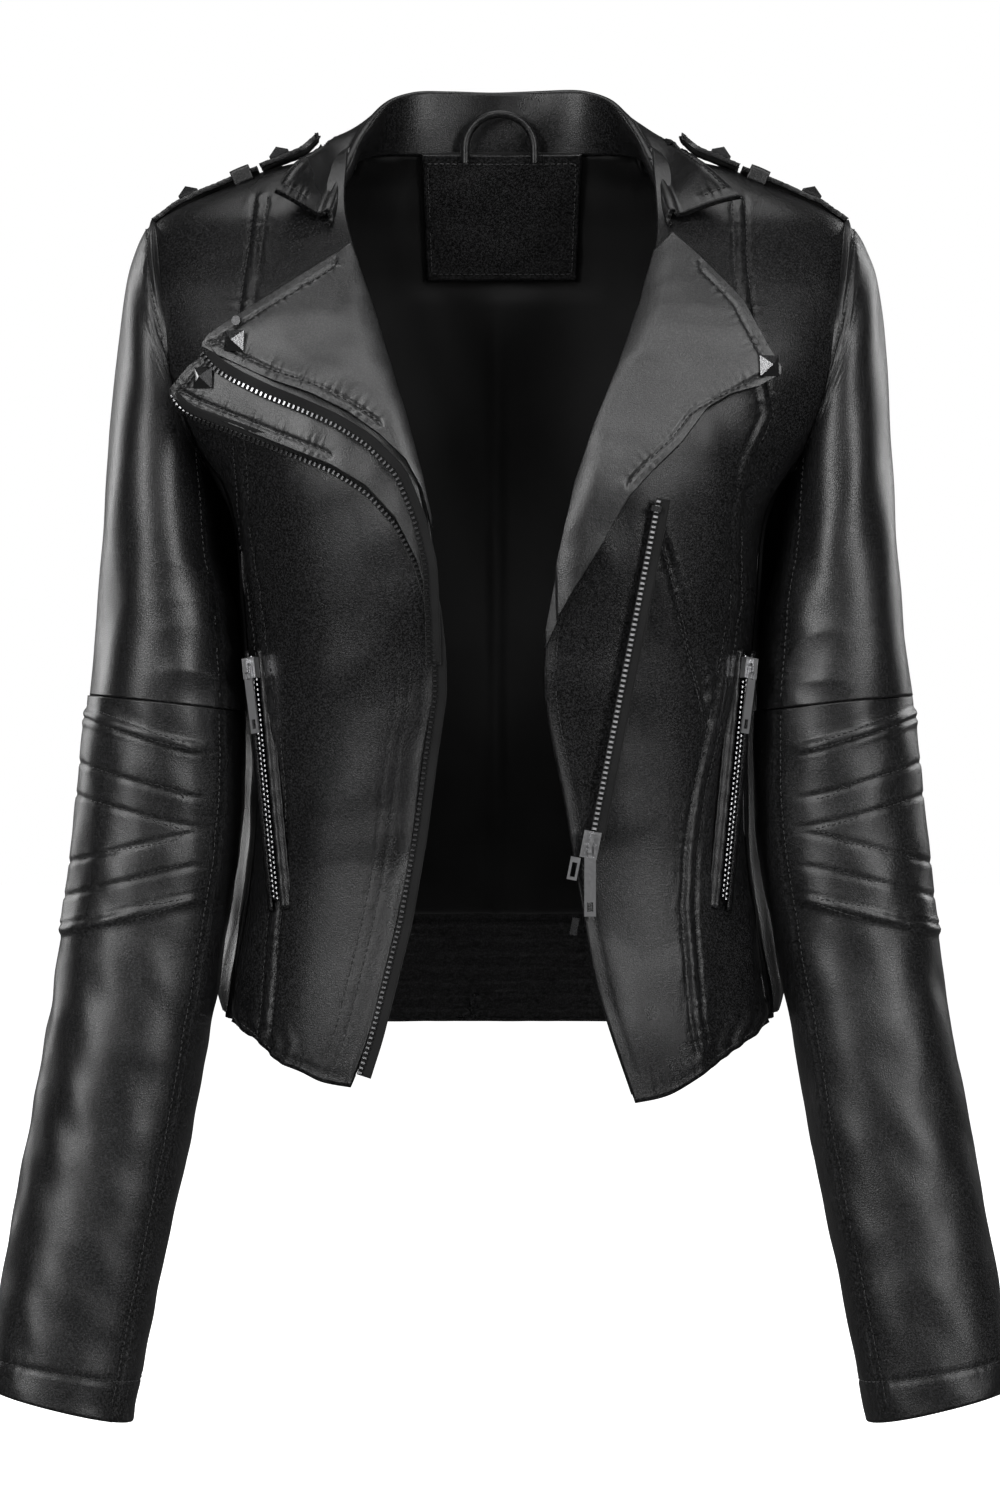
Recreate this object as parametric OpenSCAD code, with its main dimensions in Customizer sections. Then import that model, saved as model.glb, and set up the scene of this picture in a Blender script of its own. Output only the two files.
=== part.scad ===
// Cropped leather riding jacket, hanging open by its hang loop.
// +Z is up and the front faces -Y. The origin is the inner crown of the hang loop.
// "right" and "left" are the wearer's: right is on the -X side.
// Soft pieces are plain closed sheets at their real size and place.

/* [Shell] */
// Thickness of the leather
leather_t = 1.5; // [0.8:0.1:2]
// Roundness of the body's plan sections, 2 is an ellipse and more is squarer
section_power = 2.8; // [2.4:0.1:3]
// How far the lining lies inside the leather's outer face
lining_depth = 4.6; // [4.4:0.1:6]
// Thickness of the lining
lining_t = 0.8; // [0.5:0.1:1]
// Width of the leather facing behind each front edge
facing_w = 42; // [30:1:45]
// Level where the swinging fronts meet the shoulders
shoulder_cut_z = -80; // [-84:1:-76]
// Height of the shirred waistband at the back
waistband_h = 61; // [50:1:70]

/* [Sleeves] */
// Thickness of the sleeve leather
sleeve_t = 1.6; // [1:0.1:2]
// Slope of the clearance in the crook of the elbow, in degrees
elbow_clear = 24; // [22.5:0.5:30]
// How far the elbow's axis lies behind the front of the sleeve
elbow_axis_in = 24; // [15:1:30]

/* [Hang loop] */
// Radius of the loop's centreline
loop_r = 19; // [15:1:22]
// Radius of the rolled leather cord
loop_cord_r = 2.2; // [1.5:0.1:2.5]

/* [Zips] */
// Width of a closed or half chain with its tape
chain_w = 7; // [5:0.5:9]
// Thickness of a curved zip strip
zip_t = 1.4; // [1:0.1:1.4]
// Width of the main slider
slider_w = 9; // [8:0.5:10]
// Length of the main slider
slider_l = 14; // [12:0.5:16]
// Length of the long pull
pull_l = 36; // [30:1:42]
// Width of the long pull
pull_w = 6; // [5:0.5:7]
// Thickness of every long pull
pull_t = 1.1; // [0.9:0.1:1.1]
// Length of the pocket pulls
pocket_pull_l = 34; // [28:1:36]

/* [Studs] */
// Side of a pyramid stud
stud_w = 11; // [8:0.5:12]
// Height of a pyramid stud
stud_h = 5.5; // [4:0.5:7]

/* [Epaulettes] */
// Width of an epaulette strap
strap_w = 30; // [24:1:34]
// Thickness of an epaulette strap
strap_t = 2.4; // [1.8:0.1:3]

/* [Hidden] */
$fn = 32;

// ---- body sections: half-width, front and back half-depth against height ----
half_width = [
    [-4, 56], [-12, 74], [-20, 92], [-28, 124], [-38, 147], [-49, 172], [-60, 188],
    [-80, 197], [-98, 200], [-130, 194], [-156, 182], [-177, 168], [-195, 154],
    [-220, 144], [-265, 140], [-300, 137], [-345, 134], [-385, 134.5],
    [-430, 139], [-470, 145], [-495, 148], [-535, 149]
];
front_depth = [
    [-4, 2], [-12, 6], [-20, 12], [-28, 22], [-38, 34], [-49, 45], [-60, 54], [-80, 66],
    [-100, 77], [-130, 91], [-160, 101], [-200, 108], [-240, 108],
    [-290, 102], [-340, 97], [-390, 96], [-440, 99], [-495, 103], [-535, 105]
];
back_depth = [
    [-4, 58], [-12, 61], [-20, 64], [-28, 67], [-38, 71], [-49, 76], [-60, 80], [-80, 87],
    [-100, 92], [-130, 98], [-160, 101], [-200, 102], [-240, 98],
    [-290, 89], [-340, 83], [-390, 86], [-440, 95], [-495, 101], [-535, 104]
];
// Where the armhole and, below it, the side seam cuts each section, in degrees from the middle.
side_angle = [
    [-49, 74], [-60, 66], [-80, 61], [-98, 58.5], [-130, 58], [-156, 61], [-177, 66],
    [-197, 73], [-230, 74], [-535, 73]
];

// Front edges as [height, distance from the middle]; the top part is the lapel's roll line.
right_edge = [
    [-63, 78], [-118, 65], [-170, 49], [-222, 36], [-263, 33], [-310, 34],
    [-345, 40], [-388, 45], [-430, 53], [-463, 61], [-490, 68], [-517, 78]
];
left_edge = [
    [-74, 82], [-108, 74], [-139, 63], [-171, 50], [-202, 40], [-242, 31],
    [-284, 24], [-309, 23], [-331, 26], [-366, 33], [-419, 42], [-471, 52], [-525, 70]
];
// Hems as [distance from the middle, height].
right_hem = [[70, -517], [92, -514], [105, -509], [118, -504], [131, -494], [150, -483]];
left_hem = [[60, -525], [84, -521], [100, -514], [117, -504], [133, -494], [150, -483]];

// Lapel outlines as [distance from the middle, height], upper and lower.
right_lapel_top = [
    [37, -218], [49, -170], [65, -118], [79, -72], [120, -102], [155, -127]
];
right_lapel_low = [
    [37, -226], [49, -192], [62, -178], [79, -166], [97, -157], [118, -149],
    [147, -136], [155, -131]
];
right_flap_top = [
    [38, -225], [49, -175], [65, -126], [79, -92], [120, -114], [150, -132], [163, -141],
    [172, -151]
];
right_flap_low = [
    [38, -260], [43, -243], [54, -221], [69, -205], [87, -194], [111, -184],
    [135, -174], [159, -164], [172, -156]
];
left_lapel_top = [
    [27, -268], [40, -202], [50, -171], [63, -139], [74, -108], [81, -84], [92, -69],
    [106, -82], [119, -96], [127, -106], [134, -120], [140, -132], [146, -141]
];
left_lapel_low = [
    [27, -277], [38, -258], [52, -236], [66, -211], [78, -198], [94, -182],
    [108, -163], [119, -156], [135, -152], [146, -146]
];
// Zips on the right front as [distance from the middle, height].
outer_zip_line = [
    [170, -158], [159, -167], [135, -176], [111, -186], [87, -196], [69, -207],
    [54, -223], [43, -245], [38, -265], [36, -291], [36, -312], [41, -345],
    [47, -387], [55, -430], [63, -462], [70, -490], [76, -510]
];
inner_zip_line = [
    [144.5, -144.5], [139, -147], [122, -155], [105, -162], [87, -170], [70, -180],
    [54, -196], [45, -219], [41, -245], [40, -274], [41, -308]
];

// Main zip: a straight half chain on the left front, from its slider at rest to its top.
main_low = [47, -100.5, -390];
main_high = [80.5, -109.1, -218];
main_tail = 45;
// The long pull hangs plumb, turned on its eye from the line of the zip.
pull_hang = 11;
// Pocket zips: straight, from the closed end at the top to the open end.
pocket_high = [130.1, -59.7, -298];
pocket_low = [118, -72.7, -420];
pocket_out = [0.56, -0.83, 0];

// Collar stations from the middle of the back to the notch: seam, fold and leaf edge.
collar_path = [
    [[0, 60, -12], [0, 57, 20], [0, 84, -28]],
    [[28, 58, -12], [27, 55, 20], [34, 82, -28]],
    [[50, 50, -12], [47, 49, 19], [62, 74, -28]],
    [[66, 36, -14], [61.5, 35, 11], [83, 50, -21]],
    [[76, 12, -20], [73, 8, -8], [90, 15, -11]],
    [[82, -13, -34], [80, -15, -27], [96, -13, -18]],
    [[86.5, -36, -49], [85, -36, -43], [109, -40, -30]],
    [[90, -57, -63], [89, -56, -58], [118, -59, -46]]
];
left_tip_extra = [9, 0, -2];
// How much wider than the body the lapels' own section is, so that their tips stand off.
lapel_spread = 30;

// Sleeve stations: outer edge x, z, inner edge x, z, middle y, half-depth, bulge.
sleeve_path = [
    [190, -58, 156, -196, 0, 56, 5], [203, -92, 154, -204, -1, 57, 2],
    [207, -132, 152, -218, -2, 58, 0], [210, -185, 149, -243, -5, 59, 0],
    [214, -238, 145.5, -268, -9, 58, 0], [218, -288, 142.5, -302, -13, 56, 0],
    [222, -328, 140, -334, -16, 53, 0], [227, -378, 139.5, -384, -20, 50, 0],
    [233, -434, 145, -440, -27, 47, 0], [242, -495, 155, -492, -35, 44, 0],
    [252, -555, 165, -552, -44, 41, 0], [262, -618, 178, -618, -54, 38, 0],
    [270, -675, 193, -694, -63, 36, 0]
];
sleeve_sides = 20;
shoulder_x = 184;
elbow_top = 6;
elbow_mid = 7;
elbow_low = 8;

// Top of the shoulder under the epaulette, as [distance from the middle, height].
ridge = [[186, -57.5], [173, -48], [147, -37], [130, -30]];
tab_line = [[130, -29], [118, -24], [108, -20], [99, -14.3]];
strap_mid_y = 2;
strap_gap = 1.9;

loop_y = 50;
loop_end_z = -10;
origin_shift = [0, -loop_y, -(loop_end_z + loop_r - loop_cord_r)];
leather = [0.07, 0.07, 0.075];
lining = [0.02, 0.02, 0.022];
metal = [0.45, 0.45, 0.47];
tape = [0.04, 0.04, 0.04];

// ---- helpers ----
function mix(a, b, t) = a + (b - a) * t;
function unit(v) = v / max(norm(v), 0.000001);
function span(n) = [for (i = [0:n]) i / n];
// Value at k in a table of [key, value] rows that fall or rise steadily.
function row_at(t, k, i = 0) =
    i >= len(t) - 2 || (t[i + 1][0] - k) * (t[1][0] - t[0][0]) >= 0 ? i : row_at(t, k, i + 1);
function slope_at(t, i) =
    let (a = t[max(i - 1, 0)], b = t[min(i + 1, len(t) - 1)]) (b[1] - a[1]) / (b[0] - a[0]);
function smooth(t, k) =
    let (
        i = row_at(t, k),
        h = t[i + 1][0] - t[i][0],
        u = min(1, max(0, (k - t[i][0]) / h)),
        m0 = slope_at(t, i) * h,
        m1 = slope_at(t, i + 1) * h
    )
    t[i][1] * (1 + 2 * u) * (1 - u) * (1 - u) + m0 * u * (1 - u) * (1 - u)
    + t[i + 1][1] * u * u * (3 - 2 * u) - m1 * u * u * (1 - u);

// A point of the body at an angle from the middle, at height z, out by d from the leather.
function body_point(side, a, z, d = 0, back = false, wide = 0) =
    let (
        w = smooth(half_width, z) + d + wide,
        b = smooth(back ? back_depth : front_depth, z) + d,
        e = 2 / section_power
    )
    [
        side * sign(a) * w * pow(abs(sin(a)), e),
        (back ? 1 : -1) * b * pow(abs(cos(a)), e), z
    ];
// The angle at which a section is x from the middle.
function angle_of(x, z, wide = 0) =
    asin(pow(min(0.9999, x / (smooth(half_width, z) + wide)), section_power / 2));
// A point of the front at [distance from the middle, height]. On a wider section the distance
// stays true whatever the offset.
function front_point(side, p, d = 0, wide = 0) =
    let (
        w = smooth(half_width, p[1]) + wide,
        kept = wide > 0 ? w / (w + d) : 1
    )
    body_point(side, angle_of(p[0] * kept, p[1], wide), p[1], d, false, wide);

function grid_normal(g, i, j, closed) =
    let (
        n = len(g) - 1,
        m = len(g[0]),
        a = g[min(i + 1, n)][j] - g[max(i - 1, 0)][j],
        b = closed ? g[i][(j + 1) % m] - g[i][(j + m - 1) % m]
            : g[i][min(j + 1, m - 1)] - g[i][max(j - 1, 0)]
    )
    unit(cross(a, b));

// A closed solid sheet over a grid of points, from lo to hi along its normals.
module sheet(g, lo, hi, closed = false) {
    n = len(g);
    m = len(g[0]);
    points = [
        for (s = [lo, hi]) for (i = [0:n - 1]) for (j = [0:m - 1])
            g[i][j] + s * grid_normal(g, i, j, closed)
    ];
    function at(s, i, j) = (s * n + i) * m + j % m;
    function quad(a, b, c, d) = [[a, b, c], [a, c, d]];
    columns = closed ? m - 1 : m - 2;
    faces = [
        for (i = [0:n - 2]) for (j = [0:columns])
            each concat(
                quad(at(1, i, j), at(1, i, j + 1), at(1, i + 1, j + 1), at(1, i + 1, j)),
                quad(at(0, i + 1, j), at(0, i + 1, j + 1), at(0, i, j + 1), at(0, i, j))
            ),
        for (j = [0:columns])
            each concat(
                quad(at(0, 0, j), at(0, 0, j + 1), at(1, 0, j + 1), at(1, 0, j)),
                quad(at(1, n - 1, j), at(1, n - 1, j + 1), at(0, n - 1, j + 1), at(0, n - 1, j))
            ),
        if (!closed) for (i = [0:n - 2])
            each concat(
                quad(at(0, i + 1, 0), at(0, i, 0), at(1, i, 0), at(1, i + 1, 0)),
                quad(at(1, i + 1, m - 1), at(1, i, m - 1), at(0, i, m - 1), at(0, i + 1, m - 1))
            )
    ];
    polyhedron(points, faces);
}

module placed(c) {
    color(c) translate(origin_shift) children();
}

// Sheets for the wearer's left are made on the left; side is -1 for right and 1 for left.
// Rows are turned so that every sheet's normals point out of the body.
function facing_out(g, side) = side > 0 ? g : [for (row = g) [for (j = [len(row) - 1:-1:0]) row[j]]];

// A band of a front, between two distances s (0 at the edge, 1 at the side) under z_top.
function front_grid(side, z_top, s0, s1, rows, cols, d = 0) =
    let (edge = side < 0 ? right_edge : left_edge, hem = side < 0 ? right_hem : left_hem)
    facing_out([
        for (u = span(rows)) [
            for (v = span(cols))
                let (
                    s = mix(s0, s1, v),
                    x_low = mix(smooth(edge, -505), 143, s),
                    z = mix(z_top, smooth(hem, x_low), u),
                    a = mix(angle_of(smooth(edge, z), z), smooth(side_angle, z) - 0.6, s)
                )
                body_point(side, a, z, d)
        ]
    ], -side);
// A strip along a front edge, of constant width.
function edge_grid(side, z_top, z_low, x0, x1, rows, d = 0) =
    let (edge = side < 0 ? right_edge : left_edge)
    facing_out([
        for (u = span(rows)) [
            for (x = [x0, (x0 + x1) / 2, x1])
                let (z = mix(z_top, z_low, u))
                body_point(side, angle_of(smooth(edge, z) + x, z), z, d)
        ]
    ], -side);
// A part of a front between angles, for linings, pocket bags and shoulders.
function angle_grid(side, z0, z1, a0, a1, rows, cols, d = 0, back = false) =
    facing_out([
        for (u = span(rows)) [
            for (v = span(cols))
                let (z = mix(z0, z1, u))
                body_point(
                    side,
                    mix(is_num(a0) ? a0 : smooth(a0, z), is_num(a1) ? a1 : smooth(a1, z), v),
                    z, d, back
                )
        ]
    ], back ? side : -side);

// ---- body ----
// Height of the shoulder's ridge at a distance from the middle.
function ridge_z(x) = smooth([for (i = [0:6]) [half_width[i][1], half_width[i][0]]], x);
// Distance of the armhole or side seam from the middle at a height.
function side_x(z) = body_point(1, smooth(side_angle, z) - 0.6, z, 0, true)[0];

module back_panel() {
    placed(leather) sheet([
        for (u = span(17)) [
            for (v = span(20))
                let (
                    s = 1 - 2 * v,
                    x_top = abs(s) * shoulder_x,
                    z_top = x_top < 80 ? -13 - 7 * pow(x_top / 80, 2) : ridge_z(x_top) - 7,
                    z = mix(z_top, -493 + waistband_h + 1, u),
                    x = mix(x_top, abs(s) * side_x(z), min(1, 4 * u))
                )
                body_point(sign(s + 0.001), angle_of(x, z), z, 0, true)
        ]
    ], -leather_t, 0);
}

module back_waistband() {
    placed(leather)
        sheet(angle_grid(1, -493 + waistband_h, -493, 72.4, -72.4, 3, 20, 0, true), -leather_t, 0);
}

module side_panel(side) {
    placed(leather) sheet(facing_out([
        for (u = span(9)) [
            for (v = span(8))
                let (
                    z = mix(-213, -484, u),
                    a = smooth(side_angle, z) + 0.6,
                    t = mix(a, 180 - a, v)
                )
                body_point(side, t > 90 ? 180 - t : t, z, 0, t > 90)
        ]
    ], -side), -leather_t, 0);
}

module side_lining(side) {
    placed(lining) sheet(facing_out([
        for (u = span(6)) [
            for (v = span(6))
                let (
                    z = mix(-216, -480, u),
                    a = smooth(side_angle, z) + 2,
                    t = mix(a, 180 - a, v)
                )
                body_point(side, t > 90 ? 180 - t : t, z, -lining_depth, t > 90)
        ]
    ], -side), -lining_t, 0);
}

// A shoulder runs from the swinging front over the ridge to the back; u goes over it, v along it.
function shoulder_point(side, u, v) =
    let (
        over = min(1, u / 0.7),
        x = mix(mix(100, 89, over), mix(178.5, shoulder_x, over), v),
        top = ridge_z(x),
        z = u <= 0.7 ? mix(shoulder_cut_z + 1, top, over) : mix(top, top - 6.4, (u - 0.7) / 0.3)
    )
    body_point(side, angle_of(x, z), z, 0, u > 0.7);

module shoulder_panel(side) {
    placed(leather) sheet(facing_out([
        for (u = [1, 0.85, 0.7, 0.64, 0.55, 0.4, 0.2, 0]) [
            for (v = span(8)) shoulder_point(side, u, v)
        ]
    ], -side), -leather_t, 0);
}

module back_lining() {
    placed(lining) sheet([
        for (u = span(12)) [
            for (v = span(14))
                let (
                    z_top = -24 - 38 * pow(abs(2 * v - 1), 1.6),
                    z = mix(z_top, -488, u),
                    a = smooth(side_angle, z) - 1.5
                )
                body_point(1, mix(a, -a, v), z, -lining_depth - 3 * pow(1 - u, 6), true)
        ]
    ], -lining_t, 0);
}

module neck_patch() {
    placed(lining) sheet([
        for (u = span(4)) [
            for (x = [47, 23, 0, -23, -47])
                let (z = mix(-20, -80, u))
                body_point(sign(x + 0.001), angle_of(abs(x), z), z, -lining_depth - 4.8, true)
        ]
    ], -0.9, 0);
}

module hang_loop() {
    placed(leather) translate([0, loop_y, loop_end_z]) rotate([90, 0, 0]) {
        rotate_extrude(angle = 180) translate([loop_r, 0]) circle(loop_cord_r);
        for (s = [-1, 1])
            translate([s * loop_r, 0, 0]) rotate([90, 0, 0]) cylinder(r = loop_cord_r, h = 8);
    }
}

// ---- collar ----
// All stations from the right notch round the back to the left notch.
function collar_side(side) = [
    for (i = [0:len(collar_path) - 1])
        let (q = collar_path[i], tip = side > 0 && i == len(collar_path) - 1)
        [for (k = [0:2]) [side * q[k][0], q[k][1], q[k][2]] + (tip && k == 2 ? left_tip_extra : [0, 0, 0])]
];
collar_all = concat(
    [for (i = [len(collar_path) - 1:-1:1]) collar_side(-1)[i]], collar_side(1)
);

module collar_stand() {
    placed(leather)
        sheet([for (u = span(3)) [for (q = collar_all) mix(q[0], q[1], u * 0.94)]], -1.2, 1.2);
}

module collar_leaf() {
    placed(leather) sheet([
        for (u = span(4)) [
            for (q = collar_all)
                let (out = unit([q[2][0] - q[1][0], q[2][1] - q[1][1], 0]))
                mix(q[1], q[2], u) + out * (3.4 + 3 * sin(180 * u)) + [0, 0, 1.5 + 2.5 * sin(180 * u)]
        ]
    ], -1, 1);
}

// ---- epaulettes ----
// A strap seen from the front: a band over a line of [distance, height] points.
module strap(side, line, gap) {
    placed(leather) translate([0, strap_mid_y + strap_w / 2, 0]) rotate([90, 0, 0])
        linear_extrude(strap_w) polygon(concat(
            [for (p = line) [side * p[0], p[1] + gap]],
            [for (i = [len(line) - 1:-1:0]) [side * line[i][0], line[i][1] + gap + strap_t]]
        ));
}

// A four-sided pyramid stud with its base on a point, its axis along a direction.
module stud(p, dir) {
    tilt = acos(unit(dir)[2]);
    turn = atan2(dir[1], dir[0]);
    half = stud_w / 2;
    placed(metal) translate(p) rotate([0, 0, turn]) rotate([0, tilt, 0]) polyhedron(
        [
            [half, half, 0], [-half, half, 0], [-half, -half, 0], [half, -half, 0],
            [half, half, 1.2], [-half, half, 1.2], [-half, -half, 1.2], [half, -half, 1.2],
            [0, 0, stud_h]
        ],
        [
            [0, 1, 2], [0, 2, 3], [4, 8, 5], [5, 8, 6], [6, 8, 7], [7, 8, 4],
            [0, 4, 5], [0, 5, 1], [1, 5, 6], [1, 6, 2], [2, 6, 7], [2, 7, 3], [3, 7, 4], [3, 4, 0]
        ]
    );
}

module epaulette_keepers() {
    for (side = [-1, 1])
        placed(leather) translate([side * 138, strap_mid_y, -30.6]) rotate([0, side * 23, 0])
            difference() {
                translate([0, 0, 1.6]) cube([9, strap_w + 6, 8.4], center = true);
                translate([0, 0, -1.6]) cube([10, strap_w + 2.4, 11.6], center = true);
            }
}

module epaulette_studs() {
    for (side = [-1, 1])
        stud([side * 168, strap_mid_y, -45.6 + strap_gap + strap_t], [side * 0.42, 0, 1]);
}

module tab_stud(side) {
    stud([side * 119, strap_mid_y, -24.3 + strap_gap + strap_t], [side * 0.42, 0, 1]);
}

// ---- fronts ----
module front_panel(side) {
    placed(leather) sheet(front_grid(side, shoulder_cut_z - 1, 0, 1, 17, 12), -leather_t, 0);
}

module front_facing(side) {
    placed(leather) sheet(
        edge_grid(side, shoulder_cut_z - 6, side < 0 ? -508 : -515, 3, 3 + facing_w, 14, -2.1),
        -1.4, 0
    );
}

module front_lining(side) {
    placed(lining)
        sheet(front_grid(side, shoulder_cut_z - 2, 0.3, 0.97, 12, 6, -lining_depth), -lining_t, 0);
}

// A leaf between an upper and a lower line, standing off the chest.
module lapel(side, top, low, d, wide) {
    n = len(top) - 1;
    x0 = top[0][0];
    x1 = top[n][0];
    placed(leather) sheet(facing_out([
        for (v = span(4)) [
            for (u = span(14))
                let (x = mix(x0, x1, u))
                front_point(side, [x, mix(lookup(x, top), lookup(x, low), v)], d, wide)
        ]
    ], -side), 0, 1.8);
}

// A strip of tape with its half chain, along a line of [distance, height] points.
module zip_strip(side, line, d, wide) {
    n = len(line) - 1;
    placed(tape) sheet([
        for (i = [0:n])
            let (
                along = unit(concat(line[min(i + 1, n)] - line[max(i - 1, 0)], [0])),
                out = [-along[1], along[0]] * side * chain_w / 2,
                spread = wide * smooth([[0, 0], [60, 0.6], [100, 1], [200, 1]], line[i][0])
            )
            [
                front_point(side, line[i] + out, d, spread),
                front_point(side, line[i] - out, d, spread)
            ]
    ], -zip_t, 0);
}

module right_lapel_studs() {
    stud(front_point(-1, [138, -128], 10.6, lapel_spread), [-0.42, -1, 0.12]);
    stud(front_point(-1, [154.5, -147], 6.8, lapel_spread), [-0.5, -1, 0.12]);
    placed(metal) translate(front_point(-1, [137, -117], 10.4, lapel_spread))
        rotate([90, 0, -22]) cylinder(r = 2.5, h = 2);
}

// ---- zips ----
// Children drawn with +Z along a line from a to b, +Y out of the cloth.
module along(a, b, out) {
    z = unit(b - a);
    x = unit(cross(out, z));
    y = cross(z, x);
    placed(metal) multmatrix([
        [x[0], y[0], z[0], a[0]],
        [x[1], y[1], z[1], a[1]],
        [x[2], y[2], z[2], a[2]],
        [0, 0, 0, 1]
    ]) children();
}

module half_chain(a, b, out, low, high) {
    along(a, b, out) {
        translate([-chain_w / 2, -0.9, low]) cube([chain_w, 0.7, high - low]);
        translate([-1.4, -0.2, low]) cube([2.8, 1.9, high - low]);
    }
}

// A slider saddle over a chain, with a bridge for its pull. It is open along its length.
module slider(w, l) {
    difference() {
        union() {
            translate([-w / 2, 0.1, -l / 2]) cube([w, 4.1, l]);
            translate([-0.9, 4.2, -l / 2 + 3]) cube([1.8, 3, 2]);
            translate([-0.9, 4.2, l / 2 - 3]) cube([1.8, 3, 2]);
            translate([-0.9, 6.2, -l / 2 + 3]) cube([1.8, 1, l - 4]);
        }
        translate([-2.1, -1, -l]) cube([4.2, 3.3, 2 * l]);
    }
}

// A flat pull that hangs from an eye at the origin, towards -Z.
module pull(l, w, t) {
    difference() {
        translate([-w / 2, -t / 2, -l]) cube([w, t, l + 1.5]);
        translate([-w / 2 + 1.1, -t, -5.4]) cube([w - 2.2, 2 * t, 5.9]);
        translate([-w / 2 + 1.4, -t, -l + 2.4]) cube([w - 2.8, 2 * t, 5]);
    }
}

main_out = [0, -1, 0];
main_len = norm(main_high - main_low);

module main_zip() {
    half_chain(main_low, main_high, main_out, slider_l / 2 - 4, main_len);
    along(main_low, main_high, main_out)
        translate([-chain_w / 2, -0.9, -main_tail]) cube([chain_w, 0.7, main_tail + 2.5]);
}

module main_zip_stops() {
    along(main_low, main_high, main_out) {
        translate([-2.6, -0.1, main_len + 0.4]) cube([5.2, 2.2, 3]);
        translate([-1.8, -0.1, -main_tail - 3]) cube([3.6, 2, 9]);
    }
}

module main_slider() {
    along(main_low, main_high, main_out) slider(slider_w, slider_l);
}

module main_pull() {
    along(main_low, main_high, main_out) translate([0, 5.2, -1.2]) rotate([-1.5, pull_hang, 0])
        pull(pull_l, pull_w, pull_t);
}

module inner_pull() {
    along(main_low, main_high, main_out) translate([6.2, 2, -slider_l / 2 - 0.8])
        difference() {
            translate([-2.6, -1, -12]) cube([5.2, 1.6, 12]);
            translate([-1.3, -3, -10.4]) cube([2.6, 6, 7.6]);
        }
}

function on_side(side, p) = [side * p[0], p[1], p[2]];

module pocket_zip(side) {
    a = on_side(side, pocket_high);
    b = on_side(side, pocket_low);
    out = on_side(side, pocket_out);
    half_chain(b, a, out, 0, norm(b - a) + 8);
}

module pocket_slider(side) {
    along(on_side(side, pocket_high), 2 * on_side(side, pocket_high) - on_side(side, pocket_low),
        on_side(side, pocket_out)) slider(8, 11);
}

module pocket_pull(side) {
    along(on_side(side, pocket_high), 2 * on_side(side, pocket_high) - on_side(side, pocket_low),
        on_side(side, pocket_out))
        translate([0, 5.2, -0.7]) rotate([-3, 0, 0]) pull(pocket_pull_l, 5, pull_t);
}

module pocket_bag(side) {
    placed(lining) sheet(angle_grid(side, -300, -440, 38, 66, 6, 5, -2.3), -1.5, 0);
}

// ---- sleeves ----
// Ring i of a sleeve, its cloth lying inwards by d; lift slopes the end towards the front.
function sleeve_ring(side, i, d = 0, lift = 0, at = 0) =
    let (
        q = at == 0 ? sleeve_path[i] : mix(sleeve_path[i], sleeve_path[i + 1], at),
        o = [q[0], q[1]],
        n = [q[2], q[3]],
        c = (o + n) / 2,
        h = (o - n) / 2 * (1 - d / norm((o - n) / 2)),
        y_axis = q[4] - q[5] + elbow_axis_in
    )
    [
        for (k = [0:sleeve_sides - 1])
            let (
                t = -side * 360 * k / sleeve_sides,
                cx = sign(cos(t)) * pow(abs(cos(t)), 0.88),
                sy = sign(sin(t)) * pow(abs(sin(t)), 0.88),
                p = c + h * cx,
                y = q[4] + (q[5] - d) * sy
            )
            [
                side * (p[0] + q[6] * (1 - cx * cx)), y,
                p[1] + lift * tan(elbow_clear) * max(0, y_axis - y)
            ]
    ];

module sleeve(side, first, last, d, c, top_at = 0, low_at = 0, lift_top = 0, lift_low = 0) {
    placed(c) sheet([
        for (i = [first:last])
            sleeve_ring(
                side, i, d, i == first ? lift_top : i == last ? lift_low : 0,
                i == first ? top_at : i == last ? low_at : 0
            )
    ], -sleeve_t, 0, true);
}

module upper_sleeve(side) {
    sleeve(side, 0, elbow_top - 1, 0, leather, 0, 0.97);
}

module elbow_upper(side) {
    placed(leather) sheet([
        sleeve_ring(side, elbow_top),
        sleeve_ring(side, elbow_top, 0, 0.25, 0.4),
        sleeve_ring(side, elbow_top, 0, 1, 0.985)
    ], -sleeve_t, 0, true);
}

module elbow_lower(side) {
    placed(leather) sheet([
        sleeve_ring(side, elbow_mid, 0, -1, 0.015),
        sleeve_ring(side, elbow_mid, 0, -0.25, 0.6),
        sleeve_ring(side, elbow_mid, 0, 0, 0.985)
    ], -sleeve_t, 0, true);
}

module forearm(side) {
    sleeve(side, elbow_low, len(sleeve_path) - 1, 0, leather);
}

module upper_sleeve_lining(side) {
    placed(lining) sheet([
        sleeve_ring(side, 0, 7.5, 0, 0.3),
        for (i = [1:5]) sleeve_ring(side, i, i == 1 ? 5.6 : 3.4),
        sleeve_ring(side, elbow_top, 3, 0.5, 0.5),
        sleeve_ring(side, elbow_top, 3, 1, 0.94)
    ], -lining_t, 0, true);
}

module lower_sleeve_lining(side) {
    placed(lining) sheet([
        sleeve_ring(side, elbow_mid, 3, -1, 0.06),
        for (i = [elbow_low:len(sleeve_path) - 2]) sleeve_ring(side, i, 3),
        sleeve_ring(side, len(sleeve_path) - 2, 3, 0, 0.8)
    ], -lining_t, 0, true);
}

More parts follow.
